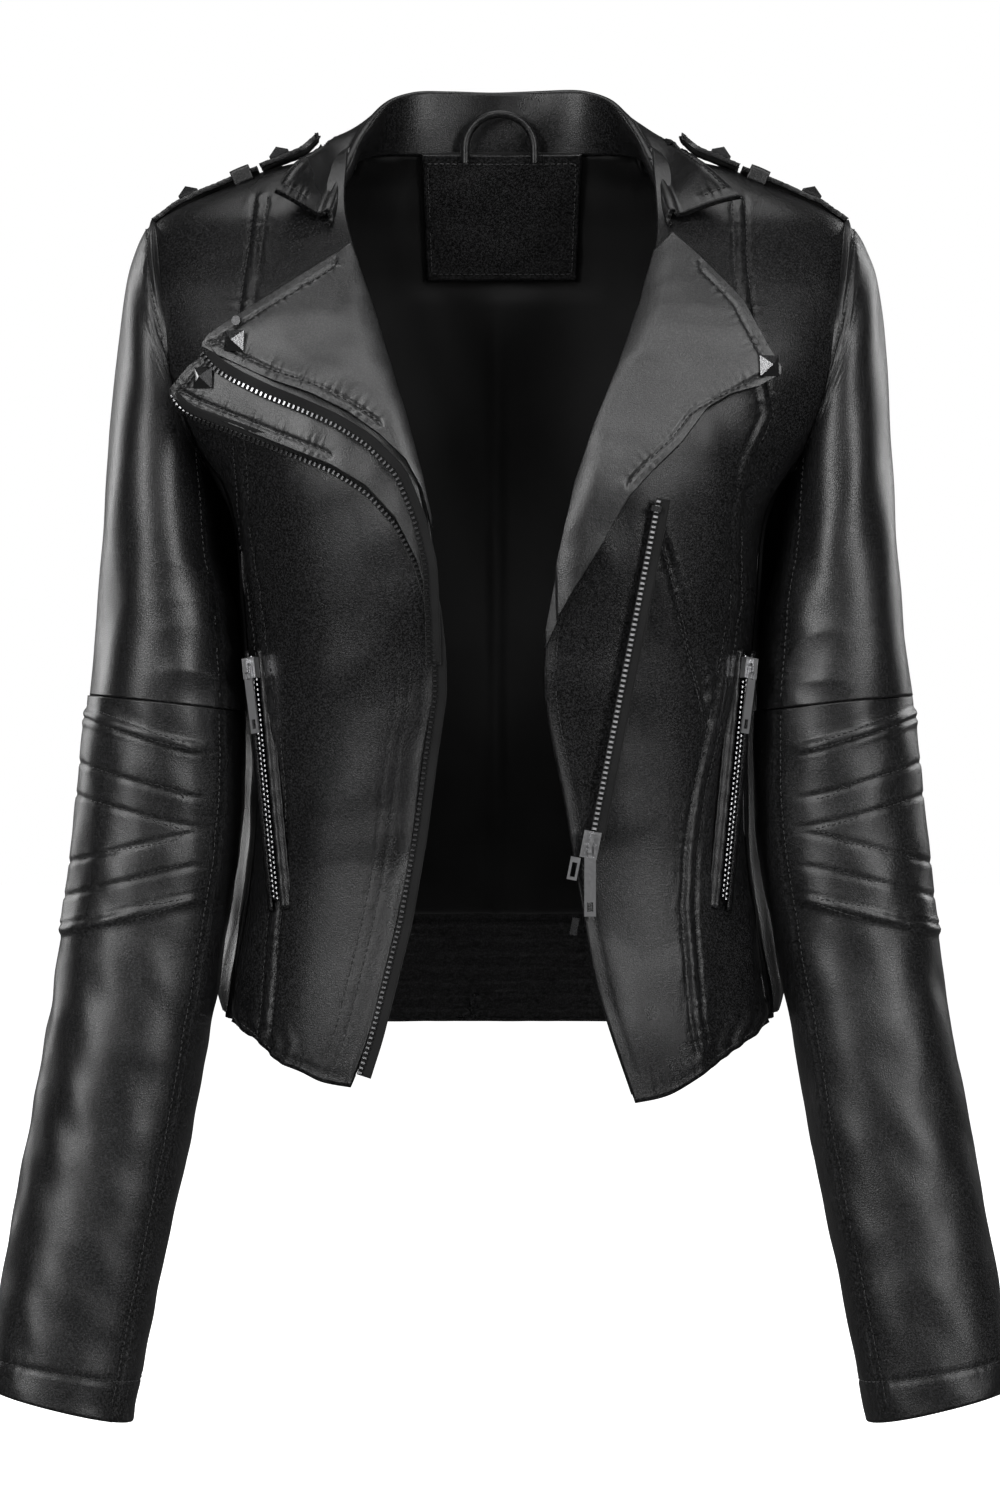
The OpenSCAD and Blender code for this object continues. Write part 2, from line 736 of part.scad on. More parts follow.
back_panel();
back_waistband();
side_panel(-1);  // right_side_panel
side_panel(1);  // left_side_panel
shoulder_panel(-1);  // right_shoulder_panel
shoulder_panel(1);  // left_shoulder_panel
back_lining();
side_lining(-1);  // right_side_lining
side_lining(1);  // left_side_lining
neck_patch();
hang_loop();
collar_stand();
collar_leaf();
strap(-1, ridge, strap_gap);  // right_epaulette_strap
strap(1, ridge, strap_gap);  // left_epaulette_strap
epaulette_keepers();
epaulette_studs();
strap(-1, tab_line, strap_gap);  // right_epaulette_tab
tab_stud(-1);  // right_tab_stud
strap(1, tab_line, strap_gap);  // left_epaulette_tab
tab_stud(1);  // left_tab_stud
front_panel(-1);  // right_front_panel
front_facing(-1);  // right_front_facing
front_lining(-1);  // right_front_lining
lapel(-1, right_lapel_top, right_lapel_low, 8.6, lapel_spread);  // right_lapel
lapel(-1, right_flap_top, right_flap_low, 5.2, lapel_spread);  // right_lapel_flap
zip_strip(-1, outer_zip_line, 1.7, lapel_spread);  // right_outer_zip
zip_strip(-1, inner_zip_line, 8.2, lapel_spread);  // right_inner_zip
right_lapel_studs();
pocket_zip(-1);  // right_pocket_zip
pocket_bag(-1);  // right_pocket_bag
pocket_slider(-1);  // right_pocket_slider
pocket_pull(-1);  // right_pocket_pull
front_panel(1);  // left_front_panel
front_facing(1);  // left_front_facing
front_lining(1);  // left_front_lining
lapel(1, left_lapel_top, left_lapel_low, 5, lapel_spread);  // left_lapel
stud(front_point(1, [140, -141], 7, lapel_spread), [0.42, -1, 0.12]);  // left_lapel_stud
main_zip();
main_zip_stops();
pocket_zip(1);  // left_pocket_zip
pocket_bag(1);  // left_pocket_bag
pocket_slider(1);  // left_pocket_slider
pocket_pull(1);  // left_pocket_pull
main_slider();
main_pull();
inner_pull();
upper_sleeve(-1);  // right_upper_sleeve
elbow_upper(-1);  // right_elbow_upper
elbow_lower(-1);  // right_elbow_lower
forearm(-1);  // right_forearm
upper_sleeve_lining(-1);  // right_upper_sleeve_lining
lower_sleeve_lining(-1);  // right_lower_sleeve_lining
upper_sleeve(1);  // left_upper_sleeve
elbow_upper(1);  // left_elbow_upper
elbow_lower(1);  // left_elbow_lower
forearm(1);  // left_forearm
upper_sleeve_lining(1);  // left_upper_sleeve_lining
lower_sleeve_lining(1);  // left_lower_sleeve_lining
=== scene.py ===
import math

import bpy
import numpy as np
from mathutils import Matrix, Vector
from mathutils.bvhtree import BVHTree
from mathutils.kdtree import KDTree


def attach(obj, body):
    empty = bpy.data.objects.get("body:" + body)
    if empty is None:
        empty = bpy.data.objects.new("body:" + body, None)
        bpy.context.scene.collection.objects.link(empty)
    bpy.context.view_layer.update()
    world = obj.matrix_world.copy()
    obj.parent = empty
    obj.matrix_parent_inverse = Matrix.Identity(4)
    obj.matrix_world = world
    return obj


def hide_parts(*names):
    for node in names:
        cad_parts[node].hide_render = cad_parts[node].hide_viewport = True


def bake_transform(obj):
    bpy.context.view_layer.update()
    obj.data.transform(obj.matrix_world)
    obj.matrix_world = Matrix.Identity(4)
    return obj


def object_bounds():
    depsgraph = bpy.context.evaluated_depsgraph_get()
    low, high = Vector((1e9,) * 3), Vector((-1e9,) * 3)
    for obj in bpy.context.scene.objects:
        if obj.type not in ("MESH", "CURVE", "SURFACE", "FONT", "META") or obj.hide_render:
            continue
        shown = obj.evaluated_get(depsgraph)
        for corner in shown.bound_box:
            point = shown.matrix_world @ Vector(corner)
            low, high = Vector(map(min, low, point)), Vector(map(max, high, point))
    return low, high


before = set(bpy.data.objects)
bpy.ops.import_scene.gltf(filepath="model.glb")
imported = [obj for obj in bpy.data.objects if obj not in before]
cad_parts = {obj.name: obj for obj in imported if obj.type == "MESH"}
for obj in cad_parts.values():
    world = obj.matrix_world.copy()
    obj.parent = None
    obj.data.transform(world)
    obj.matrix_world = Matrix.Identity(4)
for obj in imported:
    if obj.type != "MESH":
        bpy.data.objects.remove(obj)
cad_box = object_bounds()

# The jacket's own sections are in mm with its middle at x = 0; SHIFT moves them to the row frame.
SHIFT = np.array([0.0, -50.0, -6.8])
MM = 0.001
# Power of the superellipse that every section of the body is.
POWER = 2.8

# Half-width, front and back half-depth of the body against height.
HALF_WIDTH = [
    (-4, 56), (-12, 74), (-20, 92), (-28, 124), (-38, 147), (-49, 172), (-60, 188),
    (-80, 197), (-98, 200), (-130, 194), (-156, 182), (-177, 168), (-195, 154),
    (-220, 144), (-265, 140), (-300, 137), (-345, 134), (-385, 134.5),
    (-430, 139), (-470, 145), (-495, 148), (-535, 149),
]
FRONT_DEPTH = [
    (-4, 2), (-12, 6), (-20, 12), (-28, 22), (-38, 34), (-49, 45), (-60, 54), (-80, 66),
    (-100, 77), (-130, 91), (-160, 101), (-200, 108), (-240, 108),
    (-290, 102), (-340, 97), (-390, 96), (-440, 99), (-495, 103), (-535, 105),
]
BACK_DEPTH = [
    (-4, 58), (-12, 61), (-20, 64), (-28, 67), (-38, 71), (-49, 76), (-60, 80), (-80, 87),
    (-100, 92), (-130, 98), (-160, 101), (-200, 102), (-240, 98),
    (-290, 89), (-340, 83), (-390, 86), (-440, 95), (-495, 101), (-535, 104),
]
SIDE_ANGLE = [
    (-49, 74), (-60, 66), (-80, 61), (-98, 58.5), (-130, 58), (-156, 61), (-177, 66),
    (-197, 73), (-230, 74), (-535, 73),
]
# Front edges as (height, distance from the middle), with the neck above them.
RIGHT_EDGE = [
    (-14, 80), (-40, 83), (-63, 80), (-118, 65), (-170, 49), (-222, 36), (-263, 33), (-310, 34),
    (-345, 40), (-388, 45), (-430, 53), (-463, 61), (-490, 68), (-517, 78),
]
LEFT_EDGE = [
    (-14, 80), (-40, 83), (-74, 82), (-108, 74), (-139, 63), (-171, 50), (-202, 40),
    (-242, 31), (-284, 24), (-309, 23), (-331, 26), (-366, 33), (-419, 42), (-471, 52),
    (-525, 70),
]
EDGE = {-1: RIGHT_EDGE, 1: LEFT_EDGE}
# Hems as (distance from the middle, height).
HEM = {
    -1: [(70, -517), (92, -514), (105, -509), (118, -504), (131, -494), (150, -483)],
    1: [(60, -525), (84, -521), (100, -514), (117, -504), (133, -494), (150, -483)],
}
NAME = {-1: "right", 1: "left"}
UP = np.array([0, 0, 1])


# ---- curves and the body's surface ----
def smooth(table, k):
    """Smooth curve through a table of (key, value) rows, at one key or an array of keys."""
    t = np.array(table, float)
    if t[0, 0] > t[-1, 0]:
        t = t[::-1]
    x, y = t[:, 0], t[:, 1]
    m = np.empty(len(x))
    m[1:-1] = (y[2:] - y[:-2]) / (x[2:] - x[:-2])
    m[0], m[-1] = (y[1] - y[0]) / (x[1] - x[0]), (y[-1] - y[-2]) / (x[-1] - x[-2])
    k = np.clip(np.asarray(k, float), x[0], x[-1])
    i = np.clip(np.searchsorted(x, k, side="right") - 1, 0, len(x) - 2)
    h = x[i + 1] - x[i]
    u = (k - x[i]) / h
    return (
        y[i] * (1 + 2 * u) * (1 - u) ** 2 + m[i] * h * u * (1 - u) ** 2
        + y[i + 1] * u * u * (3 - 2 * u) - m[i + 1] * h * u * u * (1 - u)
    )


def lookup(table, k):
    t = np.array(table, float)
    if t[0, 0] > t[-1, 0]:
        t = t[::-1]
    return np.interp(k, t[:, 0], t[:, 1])


def stack(*parts):
    return np.stack(np.broadcast_arrays(*[np.asarray(p, float) for p in parts]), axis=-1)


def mix(a, b, t):
    return a + (b - a) * t


def step(e0, e1, x):
    t = np.clip((x - e0) / (e1 - e0), 0, 1)
    return t * t * (3 - 2 * t)


def body_point(side, angle, z, d=0.0, back=False, wide=0.0):
    """A point of the body at an angle in degrees from the middle, out by d mm from the leather."""
    w = smooth(HALF_WIDTH, z) + d + wide
    front, rear = smooth(FRONT_DEPTH, z) + d, smooth(BACK_DEPTH, z) + d
    b = np.where(back, rear, -front)
    a, e = np.radians(angle), 2 / POWER
    return stack(
        side * np.sign(a) * w * np.abs(np.sin(a)) ** e, b * np.abs(np.cos(a)) ** e, z
    )


def angle_of(x, z, wide=0.0):
    s = np.clip(np.abs(x) / (smooth(HALF_WIDTH, z) + wide), 0, 0.99995) ** (POWER / 2)
    return np.degrees(np.arcsin(s))


def front_point(side, x, z, d=0.0, wide=0.0):
    """A point of the chest. On a wider section, x stays true whatever the offset."""
    x, z = np.asarray(x, float), np.asarray(z, float)
    w = smooth(HALF_WIDTH, z) + wide
    kept = np.where(np.asarray(wide) > 0, w / (w + d), 1.0)
    return body_point(side, angle_of(x * kept, z, wide), z, d, False, wide)


def ridge_z(x):
    return smooth([(w, z) for z, w in HALF_WIDTH[:7]], x)


def side_x(z):
    return body_point(1, smooth(SIDE_ANGLE, z), z)[..., 0]


# ---- relief: folds, seams and puckers ----
def waves(p, seed, size, count=7, squash=(1, 1, 1)):
    """Smooth noise of about +-1, its features size mm apart, longer where squash is under 1."""
    r = np.random.default_rng(seed)
    q = p * np.array(squash) / size
    out = np.zeros(p.shape[:-1])
    for _ in range(count):
        k = r.normal(size=3)
        k *= 2 * math.pi * r.uniform(0.6, 1.4) / np.linalg.norm(k)
        out += np.sin(q @ k + r.uniform(0, 6.28) + 0.8 * np.sin(q @ r.normal(size=3) * 2.5))
    return out / math.sqrt(count)


def creases(p, seed, size, squash=(1, 1, 1)):
    """Rounded folds with sharper valleys between them."""
    return np.abs(waves(p, seed, size, 6, squash)) - 0.6


def normals(g, closed=False):
    if closed:
        dj = np.roll(g, -1, 1) - np.roll(g, 1, 1)
    else:
        dj = np.gradient(g, axis=1)
    n = np.cross(np.gradient(g, axis=0), dj)
    return n / np.maximum(np.linalg.norm(n, axis=-1, keepdims=True), 1e-9)


def dense(line, pitch=1.5):
    """A polyline with a point every pitch mm, and the distance along it."""
    line = np.asarray(line, float)
    s = np.concatenate([[0], np.cumsum(np.linalg.norm(np.diff(line, axis=0), axis=1))])
    t = np.arange(0, s[-1], pitch)
    return np.stack([np.interp(t, s, line[:, i]) for i in range(line.shape[1])], 1), t


# How far from a seam its surface may still move, and how wide its puckers are.
SEAM_REACH, PUCKER_WIDTH = 22, 5.0


def seam_relief(g, seams):
    """How far seams press a surface in. A seam is (line, depth, half-width, pucker)."""
    flat = g.reshape(-1, 3)
    out = np.zeros(len(flat))
    for line, depth, width, pucker in seams:
        pts, along = dense(line)
        tree = KDTree(len(pts))
        for i, p in enumerate(pts):
            tree.insert(p, i)
        tree.balance()
        lo, hi = pts.min(0) - SEAM_REACH, pts.max(0) + SEAM_REACH
        near = np.where(((flat > lo) & (flat < hi)).all(1))[0]
        for i in near:
            _, j, d = tree.find(flat[i])
            if d < 4 * width + 16:
                s = along[j]
                out[i] -= depth * math.exp(-((d / width) ** 2))
                ripple = math.sin(s * 1.35 + 2 * math.sin(s * 0.13))
                ripple *= 0.6 + 0.4 * math.sin(s * 0.37)
                out[i] += pucker * ripple * math.exp(-((d / PUCKER_WIDTH) ** 2))
    return out.reshape(g.shape[:-1])


# ---- meshes ----
def to_row(p):
    return (np.asarray(p) + SHIFT) * MM


def mesh(name, verts, faces, material, flat=False):
    m = bpy.data.meshes.new(name)
    m.from_pydata(to_row(verts).tolist(), [], [list(map(int, f)) for f in faces])
    m.validate()
    m.update()
    if not flat:
        m.shade_smooth()
    o = bpy.data.objects.new(name, m)
    bpy.context.scene.collection.objects.link(o)
    if material:
        m.materials.append(material)
    return o


def quads(a, b, c, d):
    return np.stack([a.ravel(), b.ravel(), c.ravel(), d.ravel()], 1)


def cloth(name, g, thick, material, closed=False, rim=0.5):
    """A sheet of cloth or leather: its outer face is the grid, with a rounded edge all round."""
    n, m = g.shape[:2]
    nor = normals(g, closed)
    inner = g - nor * thick
    ids = np.arange(n * m).reshape(n, m)
    back = ids + n * m
    faces = []

    def wrap(a):
        return np.concatenate([a, a[:, :1]], 1) if closed else a

    o, b = wrap(ids), wrap(back)
    faces.append(quads(o[:-1, :-1], o[:-1, 1:], o[1:, 1:], o[1:, :-1])[:, ::-1])
    faces.append(quads(b[:-1, :-1], b[1:, :-1], b[1:, 1:], b[:-1, 1:])[:, ::-1])
    if closed:
        loops = [(o[0], b[0]), (o[-1][::-1], b[-1][::-1])]
    else:
        ring = np.concatenate([ids[0], ids[1:, -1], ids[-1, ::-1][1:], ids[::-1, 0][1:]])
        loops = [(ring, ring + n * m)]
    verts = [g.reshape(-1, 3), inner.reshape(-1, 3)]
    count = 2 * n * m
    for ring, low in loops:
        top_p, low_p = verts[0][ring], verts[1][low - n * m]
        along = np.gradient(top_p, axis=0)
        out = np.cross(along, top_p - low_p)
        out /= np.maximum(np.linalg.norm(out, axis=1, keepdims=True), 1e-9)
        mid = (top_p + low_p) / 2 + out * thick * rim
        k = np.arange(len(ring)) + count
        verts.append(mid)
        count += len(ring)
        faces.append(quads(ring[:-1], k[:-1], k[1:], ring[1:])[:, ::-1])
        faces.append(quads(k[:-1], low[:-1], low[1:], k[1:])[:, ::-1])
    obj = mesh(name, np.concatenate(verts), np.concatenate(faces), material)
    weld = obj.modifiers.new("weld", "WELD")
    weld.merge_threshold = 0.00002
    apply(obj)
    return obj


def apply(obj):
    bpy.context.view_layer.objects.active = obj
    for mod in list(obj.modifiers):
        with bpy.context.temp_override(object=obj):
            bpy.ops.object.modifier_apply(modifier=mod.name)


def facing(g, way):
    """Turns a grid's rows so that its normals point a given way."""
    return g if (normals(g) * way).sum() > 0 else g[:, ::-1]


def out_facing(g):
    """Turns a grid's rows so that its normals point out of the body."""
    return facing(g, g * [1, 1, 0])


def tree_of(obj):
    return BVHTree.FromObject(obj, bpy.context.evaluated_depsgraph_get())


def snap(tree, p):
    """The nearest point of a made surface, in mm, and the way out of it."""
    co, no, _, _ = tree.find_nearest(Vector(to_row(p)))
    return np.array(co) / MM - SHIFT, np.array(no)


def merged(name, parts, material, flat=False):
    verts, faces, count = [], [], 0
    for v, f in parts:
        verts.append(v)
        faces += [[i + count for i in q] for q in f]
        count += len(v)
    return mesh(name, np.concatenate(verts), faces, material, flat)


def block(place, x, y, z, size, taper=0.75):
    """A small block with a chamfered top, along unit axes x, y, z; its base is at place."""
    w, t, h = np.array(size) / 2
    v = []
    for k, s in ((0, 1.0), (0.65, 1.0), (1, taper)):
        for a, b in ((-1, -1), (1, -1), (1, 1), (-1, 1)):
            v.append(place + x * a * w * s + z * b * h * s + y * 2 * t * k)
    f = [[3, 2, 1, 0], [8, 9, 10, 11]]
    for r in (0, 4):
        f += [[r + i, r + (i + 1) % 4, r + 4 + (i + 1) % 4, r + 4 + i] for i in range(4)]
    return np.array(v), f


def dash(a, b, r, out):
    """One stitch: a short thread, thin at both ends."""
    z = (b - a) / max(np.linalg.norm(b - a), 1e-9)
    x = np.cross(z, out)
    x /= max(np.linalg.norm(x), 1e-9)
    y = np.cross(x, z)
    sides = 5
    v, f = [], []
    for t, s, lift in ((0, 0.35, -0.25), (0.25, 1, 0.1), (0.75, 1, 0.1), (1, 0.35, -0.25)):
        for k in range(sides):
            c = 2 * math.pi * k / sides
            v.append(mix(a, b, t) + (x * math.cos(c) + y * math.sin(c)) * r * s + out * lift)
    for r in range(0, 3 * sides, sides):
        f += [[r + k, r + (k + 1) % sides, r + sides + (k + 1) % sides, r + sides + k]
              for k in range(sides)]
    return np.array(v), f


STITCH_PITCH, THREAD_R = 3.4, 0.32


def stitches(name, obj, lines):
    """Rows of stitches that lie on a made surface."""
    tree, parts = tree_of(obj), []
    for line in lines:
        pts, _ = dense(line, STITCH_PITCH)
        snapped = [snap(tree, p) for p in pts]
        for (a, na), (b, _) in zip(snapped[:-1], snapped[1:]):
            if 0.5 < np.linalg.norm(b - a) < 3 * STITCH_PITCH:
                parts.append(dash(a + na * 0.18, mix(a, b, 0.72) + na * 0.18, THREAD_R, na))
    return merged(name, parts, MAT["thread"])


# ---- materials ----
def node_material(name, base, roughness, metallic=0.0, specular=0.5):
    m = bpy.data.materials.new(name)
    m.use_nodes = True
    nt = m.node_tree
    shader = nt.nodes["Principled BSDF"]
    shader.inputs["Base Color"].default_value = (*base, 1)
    shader.inputs["Roughness"].default_value = roughness
    shader.inputs["Metallic"].default_value = metallic
    shader.inputs["Specular IOR Level"].default_value = specular
    coords = nt.nodes.new("ShaderNodeTexCoord")
    return m, nt, shader, coords.outputs["Object"]


def texture(nt, kind, at, scale, detail=2.0):
    t = nt.nodes.new(kind)
    nt.links.new(at, t.inputs["Vector"])
    t.inputs["Scale"].default_value = scale
    if "Detail" in t.inputs:
        t.inputs["Detail"].default_value = detail
    return t


def ramp(nt, value, stops):
    r = nt.nodes.new("ShaderNodeValToRGB")
    nt.links.new(value, r.inputs["Fac"])
    e = r.color_ramp.elements
    e[0].position, e[0].color = stops[0][0], (*stops[0][1], 1)
    e[1].position, e[1].color = stops[1][0], (*stops[1][1], 1)
    return r.outputs["Color"]


def bump(nt, height, strength, distance, after=None):
    b = nt.nodes.new("ShaderNodeBump")
    b.inputs["Strength"].default_value = strength
    b.inputs["Distance"].default_value = distance
    nt.links.new(height, b.inputs["Height"])
    if after:
        nt.links.new(after, b.inputs["Normal"])
    return b.outputs["Normal"]


def grey(v):
    return (v, v, v * 1.02)


def leather_material(name, tone=0.0018, rough=(0.29, 0.41), shine=0.36):
    m, nt, shader, at = node_material(name, grey(tone), 0.4, 0.0, shine)
    cells = texture(nt, "ShaderNodeTexVoronoi", at, 850)
    cells.feature = "DISTANCE_TO_EDGE"
    pores = texture(nt, "ShaderNodeTexNoise", at, 1600, 3)
    broad = texture(nt, "ShaderNodeTexNoise", at, 14, 4)
    speck = texture(nt, "ShaderNodeTexNoise", at, 1100, 2)
    tint = nt.nodes.new("ShaderNodeMix")
    tint.data_type, tint.blend_type = "RGBA", "MULTIPLY"
    tint.inputs["Factor"].default_value = 1.0
    patchy = ramp(nt, broad.outputs["Fac"], [(0.3, grey(0.75)), (0.75, grey(1.0))])
    dots = ramp(nt, speck.outputs["Fac"], [(0.42, grey(tone * 0.6)), (0.68, grey(tone * 7.0))])
    nt.links.new(patchy, tint.inputs[6])
    nt.links.new(dots, tint.inputs[7])
    nt.links.new(tint.outputs[2], shader.inputs["Base Color"])
    nt.links.new(
        ramp(nt, broad.outputs["Fac"], [(0.25, grey(rough[0])), (0.8, grey(rough[1]))]),
        shader.inputs["Roughness"],
    )
    edge = ramp(nt, cells.outputs["Distance"], [(0.0, grey(0)), (0.16, grey(1))])
    n = bump(nt, edge, 0.55, 0.00008)
    n = bump(nt, pores.outputs["Fac"], 0.44, 0.00012, n)
    n = bump(nt, broad.outputs["Fac"], 0.15, 0.003, n)
    nt.links.new(n, shader.inputs["Normal"])
    return m


def cloth_material(name, tone, weave, rough, sheen):
    m, nt, shader, at = node_material(name, grey(tone), rough, 0.0, 0.15)
    shader.inputs["Sheen Weight"].default_value = sheen
    shader.inputs["Sheen Roughness"].default_value = 0.4
    wave = texture(nt, "ShaderNodeTexWave", at, weave, 1)
    cross = texture(nt, "ShaderNodeTexWave", at, weave, 1)
    cross.bands_direction = "Z"
    soft = texture(nt, "ShaderNodeTexNoise", at, 30, 3)
    nt.links.new(
        ramp(nt, soft.outputs["Fac"], [(0.3, grey(tone * 0.7)), (0.8, grey(tone * 1.5))]),
        shader.inputs["Base Color"],
    )
    n = bump(nt, wave.outputs["Fac"], 0.15, 0.0002)
    n = bump(nt, cross.outputs["Fac"], 0.15, 0.0002, n)
    nt.links.new(n, shader.inputs["Normal"])
    return m


def metal_material(name, tone, rough):
    m, nt, shader, at = node_material(name, grey(tone), rough, 1.0)
    scratch = texture(nt, "ShaderNodeTexNoise", at, 900, 4)
    nt.links.new(
        ramp(nt, scratch.outputs["Fac"], [(0.3, grey(rough * 0.92)), (0.75, grey(rough * 1.18))]),
        shader.inputs["Roughness"],
    )
    nt.links.new(bump(nt, scratch.outputs["Fac"], 0.08, 0.0002), shader.inputs["Normal"])
    return m


MAT = {
    "leather": leather_material("leather_black"),
    # Darker, less shiny copy of the black leather: painted shade on the fronts, pocket welts,
    # waistband, neck patch, collar and hang loop.
    "leather_painted_shade": leather_material("leather_painted_shade", 0.0016, (0.25, 0.35), 0.2),
    # Brighter, shinier copy of the black leather: painted light on the lapels and the right flap.
    "leather_painted_light": leather_material("leather_painted_light", 0.002, (0.33, 0.46), 0.46),
    "leather_soft": leather_material("leather_soft", 0.0025, (0.42, 0.56), 0.25),
    "thread": cloth_material("thread_black", 0.012, 3000, 0.45, 0.1),
    "lining": cloth_material("lining_black", 0.0016, 2400, 0.55, 0.04),
    "tape": cloth_material("zip_tape", 0.004, 2200, 0.8, 0.05),
    "teeth": metal_material("zip_teeth", 0.14, 0.26),
    # Brighter copy of the zip teeth metal: painted light on the main zip's teeth.
    "main_teeth_painted_light": metal_material("main_zip_teeth", 0.5, 0.42),
    "gunmetal": metal_material("gunmetal_studs", 0.16, 0.2),
    "chrome": metal_material("dark_chrome", 0.62, 0.3),
}


# ---- how pieces are baked in place or attached to a body ----
def on_front(obj, side):
    """Bakes a piece of a front into world space; the two points worked out first are not used."""
    tuple(to_row((0, 0, -52)))
    tuple(to_row((0, 0, -150)))
    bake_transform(obj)


def on_body(obj, body="jacket_body"):
    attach(obj, body)


# ---- fronts ----
def front_xz(side, s, u):
    """Distance and height of a point of a front; s runs from the edge to the side, u down."""
    x_top = mix(82, 185, s)
    x_hem = mix(float(smooth(EDGE[side], -510)), 146, s)
    z = mix(ridge_z(x_top) + 0.5, smooth(HEM[side], x_hem), u)
    edge = smooth(EDGE[side], z)
    far = side_x(z) + np.maximum(z + 58, 0) * 0.15
    far = far + 4.5 * step(-58, -90, z) * step(-200, -180, z)
    x = mix(edge, far, s)
    near_top = np.clip(1 - u * 9, 0, 1)
    return mix(x, x_top, near_top), z


PRINCESS = {
    -1: [(127, -46), (129, -71), (132, -97), (135, -123), (137, -180), (134, -232), (126, -289),
         (119, -331), (116, -367), (116, -404), (120, -440), (122, -471), (124, -492)],
    1: [(127, -48), (127, -90), (132, -130), (140, -165), (132, -181), (127, -193), (123, -222),
        (124, -262), (118, -298), (114, -321), (109, -344), (104, -366), (100, -394),
        (98.5, -423), (100, -451), (102, -480), (106, -500)],
}
TUCKS = [
    [(83, -226), (88, -248), (95, -272), (101, -292), (106, -312), (109, -326)],
    [(86, -235), (93, -256), (99, -277), (104, -297), (108, -312)],
]


def on_surface(side, line):
    flat, _ = dense(line, 2.0)
    return front_point(side, flat[:, 0], flat[:, 1])


def shifted(line, dx):
    return [(x + dx, z) for x, z in line]


def inset_line(side, inset, z_top, z_low):
    z = np.linspace(z_top, z_low, 60)
    return list(zip(smooth(EDGE[side], z) + inset, z))


def hem_line(side, up):
    x = np.linspace(HEM[side][0][0], 143, 30)
    return list(zip(x, smooth(HEM[side], x) + up))


def front_relief(side, g, lines):
    z, x = g[..., 2], np.abs(g[..., 0])
    low = step(-90, -200, z)
    r = 1.3 * waves(g, 3 + side, 95, 6) * low
    r += 0.6 * waves(g, 11 + side, 38, 7, (1, 1, 0.6)) * (0.35 + 0.65 * low)
    r -= 0.8 * creases(g, 21 + side, 60, (1.3, 1, 0.7)) * step(-330, -430, z) * step(80, 120, x)
    r = 0.4 + np.where(r < 0, 0.35 * r, r)
    hem = smooth(HEM[side], x)
    gather = step(95, 135, x) * step(30, 0, z - hem)
    r += 0.9 * gather * np.sin(x * 0.75 + 2 * np.sin(z * 0.2))
    edge_roll = np.exp(-((x - smooth(EDGE[side], z)) / 3.0) ** 2)
    r += 0.8 * edge_roll * step(-235, -260, z)
    return r + seam_relief(g, lines)


def make_front(side):
    s, u = np.meshgrid(np.linspace(0, 1, 78), np.linspace(0, 1, 230))
    x, z = front_xz(side, s, u)
    g = out_facing(front_point(side, x, z))
    z_top, insets = (-300, (13, 19)) if side < 0 else (-250, (6,))
    edge_rows = [
        on_surface(side, inset_line(side, k, z_top, HEM[side][0][1] + 8)) for k in insets
    ]
    hem = on_surface(side, hem_line(side, 5))
    beside = [on_surface(side, shifted(PRINCESS[side], k)) for k in (-3.4, 3.4)]
    seams = [(on_surface(side, PRINCESS[side]), -0.9, 2.6, 0.3)]
    seams += [(p, 1.1, 0.9, 0.45) for p in beside]
    seams += [(p, 0.16, 0.9, 0.1) for p in edge_rows] + [(hem, 0.4, 1.0, 0.18)]
    if side > 0:
        seams += [(on_surface(side, t), 1.5, 2.0, 0.4) for t in TUCKS]
    g = g + normals(g) * front_relief(side, g, seams)[..., None]
    obj = cloth(NAME[side] + "_front", g, 1.5, MAT["leather_painted_shade"])
    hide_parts(NAME[side] + "_front_panel")
    on_front(obj, side)
    rows = beside + edge_rows + [hem]
    if side > 0:
        rows += [on_surface(side, shifted(t, -2.8)) for t in TUCKS]
    on_front(stitches(NAME[side] + "_front_stitches", obj, rows), side)


def make_facing(side):
    u, k = np.meshgrid(np.linspace(0, 1, 90), np.linspace(0, 1, 16), indexing="ij")
    x_hem = smooth(EDGE[side], -510) + mix(1.2, 43, k)
    z = mix(-70, smooth(HEM[side], x_hem) + 4, u)
    x = smooth(EDGE[side], z) + mix(1.2, 43, k)
    g = out_facing(front_point(side, x, z, -2.2))
    g = g + normals(g) * 0.3 * waves(g, 5, 40)[..., None]
    obj = cloth(NAME[side] + "_facing", g, 1.2, MAT["leather_soft"])
    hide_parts(NAME[side] + "_front_facing")
    on_front(obj, side)


def make_front_lining(side):
    s, u = np.meshgrid(np.linspace(0.27, 0.985, 30), np.linspace(0.12, 0.985, 80))
    x, z = front_xz(side, s, u)
    g = out_facing(front_point(side, x, z, -4.4))
    g = g + normals(g) * (0.7 * waves(g, 9, 45, 6, (1, 1, 0.4)) - 0.4)[..., None]
    obj = cloth(NAME[side] + "_lining", g, 0.6, MAT["lining"])
    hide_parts(NAME[side] + "_front_lining")
    on_front(obj, side)


